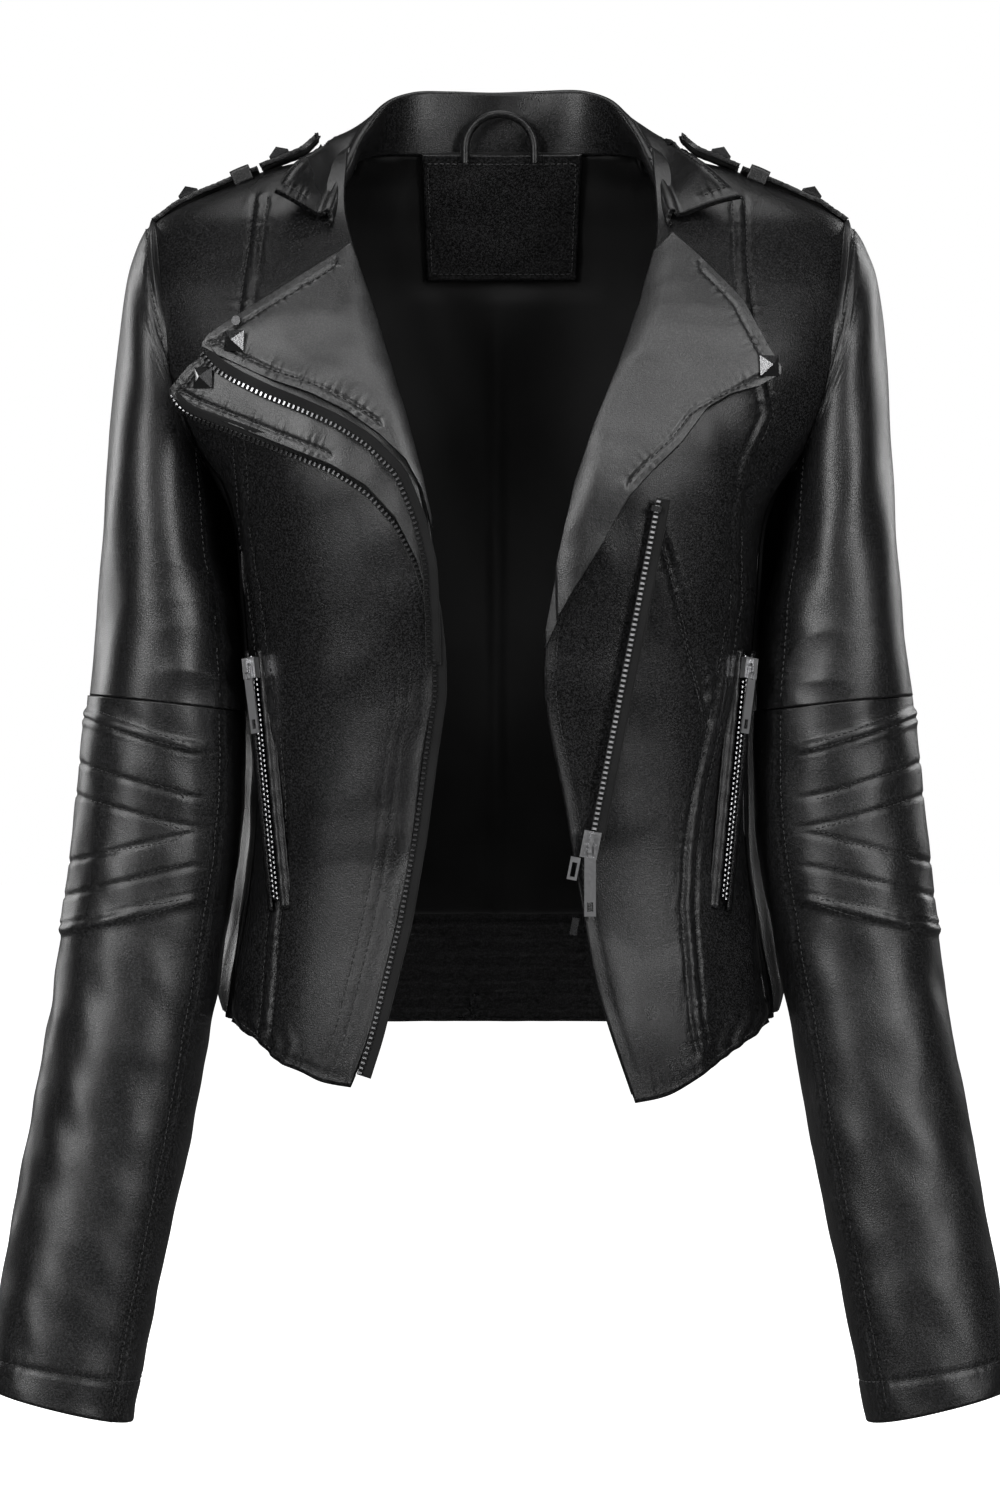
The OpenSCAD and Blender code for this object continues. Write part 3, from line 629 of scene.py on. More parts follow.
# ---- lapels ----
RIGHT_LAPEL = (
    [(36, -222), (42, -196), (49, -170), (57, -144), (65, -118), (72, -95), (79, -74), (87, -79),
     (120, -102), (139, -114.5), (152, -124), (156, -129)],
    [(36, -226), (41, -206), (49, -190.5), (62, -178), (79, -166), (97, -157), (118, -149),
     (147, -135), (156, -130)],
)
RIGHT_FLAP = (
    [(38, -228), (49, -178), (65, -130), (79, -96), (120, -118), (150, -131), (163, -140),
     (173, -152)],
    [(36, -268), (38, -262), (43, -243), (54, -221), (69, -205), (87, -194), (111, -184),
     (135, -174), (159, -164), (173, -156)],
)
LEFT_LAPEL = (
    [(24, -282), (31, -242), (40, -202), (50, -171), (63, -139), (74, -108), (82, -78), (91, -68),
     (106, -82), (119, -96), (127, -106), (134, -120), (140, -131), (147, -142.5)],
    [(24, -288), (29, -275), (38, -258), (52, -236), (66, -211), (78, -198), (94, -182),
     (108, -163), (119, -156), (135, -151.5), (147, -144.5)],
)


# The chest is drawn this much wider under the lapels' outer parts, where they stand off it.
SPREAD = 30
# How far a lapel's border seam lies inside its edge.
BORDER = 5.5


def spread(x):
    return SPREAD * step(30, 110, x)


def leaf_grid(side, outline, roll_x, d):
    """A lapel between its upper and lower lines; up to roll_x its upper line is a soft fold."""
    top, low = outline
    x0, x1 = top[0][0], top[-1][0]
    x, v = np.meshgrid(mix(x0, x1, np.linspace(0, 1, 160)), np.linspace(0, 1, 90))
    z_top, z_low = lookup(top, x), lookup(low, x)
    z = mix(z_top, z_low, v)
    edge = smooth(EDGE[side], z)
    q = np.clip((x - edge + 2.2) / 13, 0, 1)
    on_roll = step(roll_x + 12, roll_x - 4, x)
    fold = mix(np.ones_like(q), np.sqrt(np.maximum(1 - (1 - q) ** 2, 0)), on_roll)
    off = mix(-0.6, d, fold)
    x_shift = x - 2.0 * on_roll * (1 - q) ** 2
    return front_point(side, x_shift, z, off, spread(x)), q


def make_leaf(side, name, node, outline, roll_x, d, seed, bulge=1.6):
    g, q = leaf_grid(side, outline, roll_x, d)
    turned = out_facing(g)
    if turned is not g:
        g, q = turned, q[:, ::-1]
    border = leaf_border(side, outline, roll_x, d)
    r = bulge * waves(g, seed, 80, 5) * step(0, 1, q) + 0.25 * waves(g, seed + 1, 24, 7)
    r += seam_relief(g, [(border, 1.1, 1.2, 0.35)])
    g = g + normals(g) * r[..., None]
    obj = cloth(name, g, 1.8, MAT["leather_painted_light"], rim=0.6)
    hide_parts(node)
    on_front(obj, side)
    on_front(stitches(name + "_stitches", obj, [border]), side)


def leaf_border(side, outline, roll_x, d):
    """The line of a lapel's border seam, inside its free edges."""
    top, low = outline
    upper = [p for p in top if p[0] > roll_x + 4]
    pts, _ = dense(upper + low[::-1], 2.0)
    mid = pts.mean(0)
    t = np.gradient(pts, axis=0)
    n = np.c_[-t[:, 1], t[:, 0]]
    n /= np.maximum(np.linalg.norm(n, axis=1, keepdims=True), 1e-9)
    n *= np.sign(((mid - pts) * n).sum(1))[:, None]
    for _ in range(3):
        n = (np.roll(n, 1, 0) + n + np.roll(n, -1, 0)) / 3
    pts = pts + n * BORDER
    keep = pts[:, 1] < lookup(top, pts[:, 0]) - BORDER * 0.6
    keep &= pts[:, 1] > lookup(low, pts[:, 0]) + BORDER * 0.6
    pts = pts[keep]
    return front_point(side, pts[:, 0], pts[:, 1], d, spread(pts[:, 0]))


# ---- zips ----
TOOTH_PITCH = 2.7


def line_frame(pts, out_of):
    """Unit vectors along a line, out of its surface and across it."""
    t = np.gradient(pts, axis=0)
    t /= np.linalg.norm(t, axis=1, keepdims=True)
    out = out_of(pts)
    out -= t * (out * t).sum(1)[:, None]
    out /= np.linalg.norm(out, axis=1, keepdims=True)
    return t, out, np.cross(t, out)


def chain(name, line, out_of, tape_side=1):
    """Metal teeth along a 3-D line, with their tape on one side of it."""
    pts, _ = dense(line, TOOTH_PITCH)
    t, out, across = line_frame(pts, out_of)
    parts = [
        block(p - o * 0.2 + c * 0.4, a, o, c, (1.35, 1.7, 2.7))
        for p, a, o, c in zip(pts, t, out, across * tape_side)
    ]
    teeth = merged(name + "_teeth", parts, MAT["teeth"], flat=True)
    pts, _ = dense(line, 2.0)
    _, out, across = line_frame(pts, out_of)
    k = np.linspace(-1.2, 6.5, 8)
    cord = 0.75 * np.exp(-((k + 0.2) / 1.0) ** 2)
    g = (pts[:, None] + across[:, None] * tape_side * k[None, :, None]
         + out[:, None] * (cord - 0.25)[None, :, None])
    strip = cloth(name + "_tape", facing(g, out[:, None]), 0.7, MAT["tape"])
    return teeth, strip


def place_zip(pieces, node, side):
    for obj in pieces:
        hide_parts(node)
        on_front(obj, side)


def chest_out(side):
    def out(pts):
        x, z = np.abs(pts[:, 0]), pts[:, 2]
        a = front_point(side, x + 1, z) - front_point(side, np.maximum(x - 1, 0.1), z)
        b = front_point(side, x, z + 1) - front_point(side, x, z - 1)
        n = np.cross(a, b)
        n *= -np.sign(n[:, 1:2])
        return n / np.linalg.norm(n, axis=1, keepdims=True)
    return out


OUTER_ZIP = [
    (172, -155), (168, -162), (159, -168), (135, -177.5), (111, -187), (87, -197), (69, -208.5),
    (54, -225), (43, -247), (37, -268), (34.5, -291), (34, -312), (39, -345), (44.5, -387),
    (52, -430), (60, -462), (67, -490), (74, -512),
]
INNER_ZIP = [
    (156, -134), (150, -142), (139, -149), (122, -157.5), (105, -164.5), (87, -172.5),
    (70, -183), (54, -199), (45, -221), (39, -245), (37.5, -274), (37, -300),
]


def lapel_line(side, line, d):
    """A smoothed line that stands off the chest by d(z) mm."""
    pts, _ = dense(line)
    k = np.ones(7) / 7
    xs = np.convolve(np.pad(pts[:, 0], 3, mode="edge"), k, "valid")
    zs = np.convolve(np.pad(pts[:, 1], 3, mode="edge"), k, "valid")
    return front_point(side, xs, zs, d(zs), spread(xs))


def make_right_zips():
    outer = lapel_line(-1, OUTER_ZIP, lambda z: mix(1.6, 4.4, step(-300, -235, z)))
    place_zip(chain("outer_zip", outer, chest_out(-1), -1), "right_outer_zip", -1)
    inner = lapel_line(-1, INNER_ZIP, lambda z: mix(3.0, 8.6, step(-300, -225, z)))
    place_zip(chain("inner_zip", inner, chest_out(-1), -1), "right_inner_zip", -1)


MAIN_LOW, MAIN_HIGH = np.array([47, -100.5, -390.0]), np.array([80.5, -109.1, -218.0])
POCKET_HIGH, POCKET_LOW = np.array([130.1, -59.7, -298.0]), np.array([118, -72.7, -420.0])
POCKET_OUT = np.array([0.56, -0.83, 0])


def make_main_zip():
    up = (MAIN_HIGH - MAIN_LOW) / np.linalg.norm(MAIN_HIGH - MAIN_LOW)
    line = np.stack([MAIN_LOW + up * 3, MAIN_HIGH + up * 8])
    pieces = chain("main_zip", line, lambda p: np.tile([0.0, -1, 0], (len(p), 1)))
    # The main zip's teeth take the brighter copy of the teeth metal: painted light.
    pieces[0].data.materials[0] = MAT["main_teeth_painted_light"]
    place_zip(pieces, "main_zip", 1)


def make_pocket(side):
    flip = np.array([side, 1, 1])
    high, low, out = POCKET_HIGH * flip, POCKET_LOW * flip, POCKET_OUT * flip
    down = (low - high) / np.linalg.norm(low - high)
    across = np.cross(down, out)
    line = np.stack([high - down * 6, low])
    parts = []
    for k in (-1, 1):
        half, _ = dense(line + across * 1.1 * k + down * (0 if k > 0 else TOOTH_PITCH / 2), TOOTH_PITCH)
        parts += [block(p - out * 0.2, down, out, across, (1.3, 1.5, 2.6)) for p in half]
    teeth = merged(NAME[side] + "_pocket_teeth", parts, MAT["teeth"], flat=True)
    place_zip([teeth], NAME[side] + "_pocket_zip", side)
    # Welt: a raised lip of leather on each side of the teeth.
    across = across / np.linalg.norm(across)
    rows = np.linspace(-10, np.linalg.norm(low - high) + 5, 60)
    w = np.linspace(2.6, 8.0, 9)
    lift = 1.5 * np.sin(np.clip((w - 2.2) / 4.6, 0, 1) * math.pi) ** 0.7 - 1.4 - (w - 2.6) * 0.4
    for k, name in ((-1, "_welt_a"), (1, "_welt_b")):
        g = (high + down * rows[:, None, None] + across * k * w[None, :, None]
             + out * (lift[None, :, None] + 0.2 * np.sin(rows * 0.5)[:, None, None]))
        on_front(cloth(NAME[side] + name, facing(g, out), 1.4, MAT["leather_painted_shade"]), side)


# ---- shoulders, back and sides ----
def make_shoulder(side):
    """The yoke over a shoulder, from the front of the ridge to the back panel."""
    v, u = np.meshgrid(np.linspace(0, 1, 60), np.linspace(0, 1, 34))
    x = mix(80, 185, v)
    top = ridge_z(x)
    z = top - 8.5 * np.abs(u * 2 - 1) ** 1.5
    g = body_point(side, angle_of(x, z), z, 0.35, u > 0.5)
    obj = cloth(NAME[side] + "_shoulder", facing(g, UP), 1.5, MAT["leather"])
    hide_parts(NAME[side] + "_shoulder_panel")
    on_body(obj)


def side_swell(g):
    """The side stands out a little behind the sleeve, where it hangs free of the arm."""
    y, z = g[..., 1], g[..., 2]
    return 13 * step(6, 30, y) * step(100, 58, y) * step(-158, -190, z) * step(-502, -466, z)


BACK_SEAM = [(150, -92), (128, -150), (96, -210), (84, -280), (80, -340), (80, -400), (84, -432)]


def back_point(x, z, d=0.0):
    return body_point(np.where(x < 0, -1, 1), angle_of(x, z), z, d, True)


def neck_point(x, z, d):
    """As back_point, but x stays true whatever the offset."""
    return body_point(np.where(x < 0, -1, 1), angle_of(x, z), z, d, True, -d)


def back_xz(v, u, half_top, neck_z, neck_dip, z_low, inset):
    """Distance and height of a point of the back; v runs across it and u down."""
    x_top = np.abs(v) * half_top
    z_top = np.where(
        x_top < 80, neck_z - neck_dip * (x_top / 80) ** 2, ridge_z(np.maximum(x_top, 80)) - 6
    )
    z = mix(z_top, z_low, u)
    x = mix(x_top, np.abs(v) * (side_x(z) - inset), np.clip(u * 5, 0, 1))
    return x * np.sign(v + 1e-9), z


def make_back():
    v, u = np.meshgrid(np.linspace(-1, 1, 130), np.linspace(0, 1, 170))
    g = out_facing(back_point(*back_xz(v, u, 185, -12, 3, -431, 0)))
    seams = []
    for s in (-1, 1):
        flat, _ = dense([(s * a, b) for a, b in BACK_SEAM], 2)
        seams.append(back_point(flat[:, 0], flat[:, 1]))
    seams.append(back_point(np.full(150, 0.01), np.linspace(-16, -428, 150)))
    r = 1.3 * waves(g, 31, 90, 6) * step(-60, -150, g[..., 2])
    r += 0.7 * waves(g, 33, 36, 7, (1, 1, 0.6))
    r -= 0.8 * creases(g, 37, 55, (1, 1, 1.4)) * step(-300, -400, g[..., 2])
    r += seam_relief(g, [(p, 1.3, 1.5, 0.4) for p in seams]) + side_swell(g)
    obj = cloth("back", g + normals(g) * r[..., None], 1.5, MAT["leather"])
    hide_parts("back_panel")
    on_body(obj)
    rows = [p + [k, 0, 0] for p in seams for k in (-3.2, 3.2)]
    on_body(stitches("back_stitches", obj, rows))


def make_waistband():
    """Shirred band: rows of elastic pull it into small horizontal ribs, gathered between them."""
    a, u = np.meshgrid(np.linspace(-72.6, 72.6, 260), np.linspace(0, 1, 90))
    top, low, ribs = -430, -493, 8
    g = out_facing(body_point(np.where(a < 0, -1, 1), np.abs(a), mix(top, low, u), 0, True))
    rib = np.abs(np.sin(math.pi * ribs * (g[..., 2] - top) / (top - low))) ** 0.4
    x = g[..., 0]
    gather = np.sin(x * 0.9 + 1.6 * np.sin(g[..., 2] * 0.31) + 1.2 * np.sin(x * 0.083))
    r = side_swell(g) + 1.3 * (rib - 0.8) + 0.22 * gather * rib
    r += 0.5 * waves(g, 41, 24, 6, (1, 1, 0.3))
    obj = cloth("back_waistband_shirred", g + normals(g) * r[..., None], 2.2, MAT["leather_painted_shade"])
    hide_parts("back_waistband")
    on_body(obj)


def make_side(side):
    t, u = np.meshgrid(np.linspace(71.5, 108.5, 30), np.linspace(0, 1, 110))
    back = t > 90
    angle = np.where(back, 180 - t, t)
    g = facing(body_point(side, angle, mix(-184, -484, u), -0.3, back), [side, 0, 0])
    low = step(-400, -470, g[..., 2])
    r = 0.8 * waves(g, 51 + side, 50, 6) + 0.8 * low * np.sin(g[..., 1] * 0.7) + side_swell(g)
    obj = cloth(NAME[side] + "_side", g + normals(g) * r[..., None], 1.5, MAT["leather"])
    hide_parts(NAME[side] + "_side_panel")
    on_body(obj)
    inside = facing(body_point(side, angle, mix(-188, -481, u), -4.6, back), [side, 0, 0])
    lin = cloth(NAME[side] + "_side_inside", inside, 0.6, MAT["lining"])
    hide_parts(NAME[side] + "_side_lining")
    on_body(lin)


def make_back_lining():
    v, u = np.meshgrid(np.linspace(-1, 1, 130), np.linspace(0, 1, 120))
    x, z = back_xz(v, u, 178, -11, 4, -432, 3)
    g = out_facing(back_point(x, z, -5.0 + 2.6 * np.clip(1 - u * 14, 0, 1)))
    x, z = g[..., 0], g[..., 2]
    pleat = 2.2 * np.exp(-((x + 2) / 4.0) ** 2) * step(-82, -130, z)
    r = 0.9 * waves(g, 61, 55, 7, (1.5, 1, 0.35)) - 0.5 - pleat
    under_patch = step(-92, -82, z) * step(60, 50, np.abs(x))
    r = mix(r, 0.8, under_patch)
    obj = cloth("back_lining_satin", g + normals(g) * r[..., None], 0.6, MAT["lining"])
    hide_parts("back_lining")
    on_body(obj)


# How far inside the back leather the neck patch lies.
PATCH_DEPTH = -8.3


def make_neck_patch():
    x, z = np.meshgrid(np.linspace(-43, 45, 60), np.linspace(-13, -80, 50))
    x = x * mix(1.0, 0.95, (-13 - z) / 67)
    g = out_facing(neck_point(x, z, PATCH_DEPTH))[:, ::-1]
    g = g + normals(g) * (0.4 * waves(g, 71, 30, 5))[..., None]
    obj = cloth("neck_patch_blank", g, 1.0, MAT["leather_painted_shade"])
    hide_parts("neck_patch")
    on_body(obj)
    ring = [(-40, -18), (42, -18), (40, -76.5), (-38, -76.5), (-40, -18)]
    line, _ = dense(ring, 2)
    seam = neck_point(line[:, 0], line[:, 1], PATCH_DEPTH)
    on_body(stitches("neck_patch_stitches", obj, [seam]))


# ---- collar ----
COLLAR = np.array([
    [[0, 60, -12], [0, 57, 20], [0, 84, -28]],
    [[28, 58, -12], [27, 55, 20], [34, 82, -28]],
    [[50, 50, -12], [47, 49, 19], [62, 74, -28]],
    [[66, 36, -14], [61.5, 35, 11], [83, 50, -21]],
    [[76, 12, -20], [73, 8, -8], [90, 15, -11]],
    [[82, -13, -34], [80, -15, -27], [96, -13, -18]],
    [[86.5, -36, -49], [85, -36, -43], [109, -40, -30]],
    [[90, -57, -63], [89, -56, -58], [118, -59, -46]],
], float)
LEFT_TIP = np.array([9, 0, -2.0])


def collar_lines(count=170):
    """Seam, fold and edge of the collar, from the right notch to the left one."""
    left = COLLAR.copy()
    left[-1, 2] += LEFT_TIP
    right = COLLAR * [-1, 1, 1]
    allp = np.concatenate([right[:0:-1], left])
    s = np.linspace(0, 1, len(allp))
    t = np.linspace(0, 1, count)
    out = np.empty((count, 3, 3))
    for i in range(3):
        for j in range(3):
            out[:, i, j] = smooth(list(zip(s, allp[:, i, j])), t)
    return out


def make_collar():
    q = collar_lines()
    seam, fold, edge = q[:, 0], q[:, 1], q[:, 2]
    u = np.linspace(0, 1, 22)[:, None, None]
    stand = mix(seam - [0, 0, 2], fold, u)
    inward = -np.c_[fold[:, :2], np.zeros(len(fold))]
    inward /= np.linalg.norm(inward, axis=1, keepdims=True)
    stand = stand + inward[None] * 1.6 * np.sin(math.pi * u)
    out = edge - fold
    out[:, 2] = 0
    out /= np.maximum(np.linalg.norm(out, axis=1, keepdims=True), 1e-9)
    # One skin: up the stand, over a rolled fold and down the leaf.
    roll = [
        fold + out * 2.6 * (1 - math.cos(a)) + np.array([0, 0, 2.4 * math.sin(a)])
        for a in np.linspace(0.25, math.pi - 0.25, 9)
    ]
    v = np.linspace(0, 1, 40)[1:, None, None]
    start = fold + out * 5.4
    arch = np.sin(math.pi * v)
    leaf = mix(start, edge, v) + out * 3.2 * arch + 2.0 * UP * arch + out * 0.8
    g = np.concatenate([leaf[::-1], np.stack(roll)[::-1], stand[::-1]])
    n = normals(g)
    if n[-60, 85][1] < 0 or n[5, 85][1] < 0:
        g = g[:, ::-1]
    border = edge_track(g, 5, 4)
    r = 0.7 * waves(g, 81, 45, 6) + seam_relief(g, [(border, 0.6, 1.2, 0.3)])
    g = g + normals(g) * r[..., None]
    # The collar takes the darker copy of the leather: painted shade.
    obj = cloth("collar", g, 2.2, MAT["leather_painted_shade"], rim=0.6)
    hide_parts("collar_stand", "collar_leaf")
    on_body(obj)
    on_body(stitches("collar_stitches", obj, [border]))


def edge_track(g, row, col):
    """A line a few rows and columns inside a grid's first edge and its two ends."""
    return np.concatenate([g[28:row:-1, col], g[row, col:-col], g[row:28, -col - 1]])


# ---- epaulettes ----
STRAP_MID_Y, STRAP_W = 2.0, 30.0
RIDGE_LINE = [(187.5, -58.5), (173, -48), (147, -37), (130, -30)]
TAB_LINE = [(129.5, -29), (118, -24), (108, -20), (98, -14)]


def make_strap(side, line, name, node, body, pointed):
    path, _ = dense(line, 1.2)
    n = len(path)
    t = np.linspace(0, 1, n)
    half = np.full(n, STRAP_W / 2)
    if pointed:
        half = half * (1 - 0.16 * t)
        half *= np.sqrt(np.clip(1 - np.clip((t - 0.72) / 0.28, 0, 1) ** 2 * 0.82, 0.05, 1))
    w = np.linspace(-1, 1, 34)
    g = np.empty((n, 34, 3))
    g[..., 0] = side * path[:, 0][:, None]
    g[..., 1] = STRAP_MID_Y + half[:, None] * w[None]
    g[..., 2] = path[:, 1][:, None] + 4.0 - 0.9 * np.abs(w[None]) ** 3
    if pointed:
        g[..., 2] += 2.6 * step(0.6, 1, t)[:, None] ** 2
    g = facing(g, UP)
    lines = [g[2:-2, 3], g[2:-2, -4]]
    if pointed:
        lines.append(g[-4, 3:-3])
    r = 0.25 * waves(g, 91, 20, 5) + seam_relief(g, [(p, 0.5, 1.1, 0.2) for p in lines])
    obj = cloth(name, g + normals(g) * r[..., None], 2.4, MAT["leather"], rim=0.6)
    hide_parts(node)
    on_body(obj, body)
    on_body(stitches(name + "_stitches", obj, lines), body)


def make_keeper(side):
    """A leather loop round the strap, sewn into the shoulder."""
    a = np.linspace(-1, 1, 50)
    y = STRAP_MID_Y + 17.6 * np.sign(a) * np.minimum(1, np.abs(a) * 1.25)
    z = 6.2 - np.where(np.abs(a) > 0.8, (np.abs(a) - 0.8) / 0.2 * 8.5, 0) - 0.8 * a**4
    w = np.linspace(-5.5, 5.5, 12)
    tilt = math.radians(23) * side
    g = np.empty((50, 12, 3))
    cx, cz = side * 138, -34.0
    g[..., 0] = cx + w[None] * math.cos(tilt) + z[:, None] * math.sin(tilt)
    g[..., 1] = y[:, None]
    g[..., 2] = cz - w[None] * math.sin(tilt) + z[:, None] * math.cos(tilt)
    g[..., 2] += 0.25 * (1 - (w[None] / 5.5) ** 2)
    obj = cloth(NAME[side] + "_keeper", facing(g, UP), 1.4, MAT["leather"])
    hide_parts("epaulette_keepers")
    on_body(obj)


# ---- sleeves ----
# Outer edge (x, z), inner edge (x, z), middle y, half-depth and outward bulge of each ring.
SLEEVE = np.array([
    [187.5, -55, 156, -196, 0, 56, 5], [202, -84, 154, -204, -1, 57, 2],
    [207, -132, 152, -218, -2, 58, 0], [210, -185, 149, -243, -5, 59, 0],
    [214, -238, 142.5, -268, -9, 58, 0], [218, -288, 138.5, -302, -13, 56, 0],
    [222, -328, 136, -334, -16, 53, 0], [227, -378, 137, -384, -20, 50, 0],
    [233, -434, 145, -440, -27, 47, 0], [242, -495, 155, -492, -35, 44, 0],
    [252, -555, 165, -552, -44, 41, 0], [262, -618, 178, -618, -54, 38, 0],
    [270, -675, 193, -694, -63, 36, 0],
], float)
RINGS = np.arange(len(SLEEVE))


def sleeve_rows(t):
    """The SLEEVE row at each station."""
    return np.stack([smooth(list(zip(RINGS, column)), t) for column in SLEEVE.T], 1)


def squared(v):
    """A ring's cosine or sine, for an outline a little squarer than an ellipse."""
    return np.sign(v) * np.abs(v) ** 0.88


def sleeve_grid(side, first, last, rows, d=0.0, around=120):
    """Rings of a sleeve from one station to another; a column runs down its whole length."""
    t = np.linspace(first, last, rows)
    q = sleeve_rows(t)
    a = np.linspace(0, 2 * math.pi, around, endpoint=False)
    ca, sa = squared(np.cos(a)), squared(np.sin(a))
    o, n = q[:, 0:2], q[:, 2:4]
    c, h = (o + n) / 2, (o - n) / 2
    size = np.linalg.norm(h, axis=1, keepdims=True)
    h = h * (size + d) / size
    x = c[:, :1] + h[:, :1] * ca + q[:, 6:7] * (1 - ca**2)
    z = c[:, 1:] + h[:, 1:] * ca
    y = q[:, 4:5] + (q[:, 5:6] + d) * sa
    g = stack(side * x, y, z)
    nor = normals(g, True)
    if (nor * (g - g.mean(1, keepdims=True))).sum() < 0:
        g = g[:, ::-1]
    return g, np.broadcast_to(t[:, None], g.shape[:2])


def ring_line(side, t, d=0.0):
    g, _ = sleeve_grid(side, t, t + 0.01, 2, d, 180)
    return np.concatenate([g[0], g[0][:1]])


def sleeve_surface(side, rows, angle_deg, d=0.0):
    """A line down a sleeve at one angle: 0 is its outer edge, 90 its back, 270 its front."""
    t = np.asarray(rows, float)
    q = sleeve_rows(t)
    a = np.radians(angle_deg) * np.ones(len(t))
    ca, sa = squared(np.cos(a)), squared(np.sin(a))
    c, h = (q[:, 0:2] + q[:, 2:4]) / 2, (q[:, 0:2] - q[:, 2:4]) / 2
    x = c[:, 0] + h[:, 0] * ca + q[:, 6] * (1 - ca**2)
    return np.stack([side * x, q[:, 4] + (q[:, 5] + d) * sa, c[:, 1] + h[:, 1] * ca], 1)


def upper_sleeve_joint(obj, side, slot="leather_black"):
    tuple(to_row((side * 178, 0, -170)))
    tuple(to_row((side * 221.75, 0, -287.5)))
    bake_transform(obj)


def lower_sleeve_joint(obj, side, slot="leather_black"):
    tuple(to_row((side * 183, -15, -340)))
    tuple(to_row((side * 186, -24, -425)))
    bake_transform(obj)


JOIN = 5.6
# Elbow seams: height at the outer edge and at the inner end, depth; the first and last are doubled.
ELBOW_IN = 160.0
ELBOW_SEAMS = [
    (-320.5, -336, 0.6), (-326.5, -343.5, 1.5), (-350, -366, 1.2), (-367, -381.5, 1.2),
    (-399, -384.5, 1.2), (-417, -402, 1.2), (-432, -416.5, 1.4), (-438, -423, 0.6),
]


def elbow_lines(side):
    """The elbow's seams as lines in front of the sleeve, for stitches to be laid on it."""
    out = []
    for z_out, z_in, _ in ELBOW_SEAMS:
        k = np.linspace(0.06, 1.0, 30)
        x = mix(ELBOW_IN, mix(214, 226, (z_out + 330) / -110), k)
        out.append(np.stack([side * x, -75 + 22 * k**3, mix(z_in, z_out, k**1.15)], 1))
    return out


def make_upper_sleeve(side):
    """Armhole to elbow panel, with rings above it that tuck into the body."""
    g, t = sleeve_grid(side, 0, JOIN, 150)
    under = []
    for k, d, share in ((16, -8, 1), (11, -6.5, 1), (7, -4.5, 1), (4, -2.6, 0.9), (2, -1, 0.5)):
        ring = sleeve_grid(side, 0, 0.01, 2, d)[0][0] - [side * k, 0, 0]
        ax, y, az = np.abs(ring[:, 0]), ring[:, 1], ring[:, 2]
        body = body_point(1, angle_of(ax, az), az, -3.2, y > 0)[:, 1]
        ring[:, 1] = mix(y, body, share * step(4, 24, np.abs(y)))
        under.append(ring)
    g = np.concatenate([np.stack(under), g])
    t = np.concatenate([np.zeros((len(under), t.shape[1])), t])
    cap = ring_line(side, 0.12)
    fold = sleeve_surface(side, np.linspace(0.3, JOIN, 90), 222)
    r = 1.2 * waves(g, 101 + side, 85, 6, (1, 1, 0.5))
    r += 0.4 * waves(g, 103 + side, 34, 7, (1, 1, 0.6))
    inside = step(190, 160, np.abs(g[..., 0]))
    r -= 1.1 * creases(g, 107 + side, 40, (0.6, 1, 1.4)) * step(2.0, 5.4, t) * inside
    r += 0.96 * np.exp(-((t - 0.35) / 0.3) ** 2)
    r += seam_relief(g, [(cap, 1.6, 2.0, 0.7), (fold, 1.0, 1.4, 0.4)])
    r *= step(0, 0.25, t) * 0.9 + 0.1
    upper = cloth(NAME[side] + "_sleeve_upper", g + normals(g, True) * r[..., None], 1.6,
                  MAT["leather"], closed=True)
    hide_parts(NAME[side] + "_upper_sleeve")
    upper_sleeve_joint(upper, side)
    rows = [ring_line(side, 0.2), sleeve_surface(side, np.linspace(0.3, JOIN - 0.1, 90), 226)]
    upper_sleeve_joint(stitches(NAME[side] + "_sleeve_stitches", upper, rows), side)


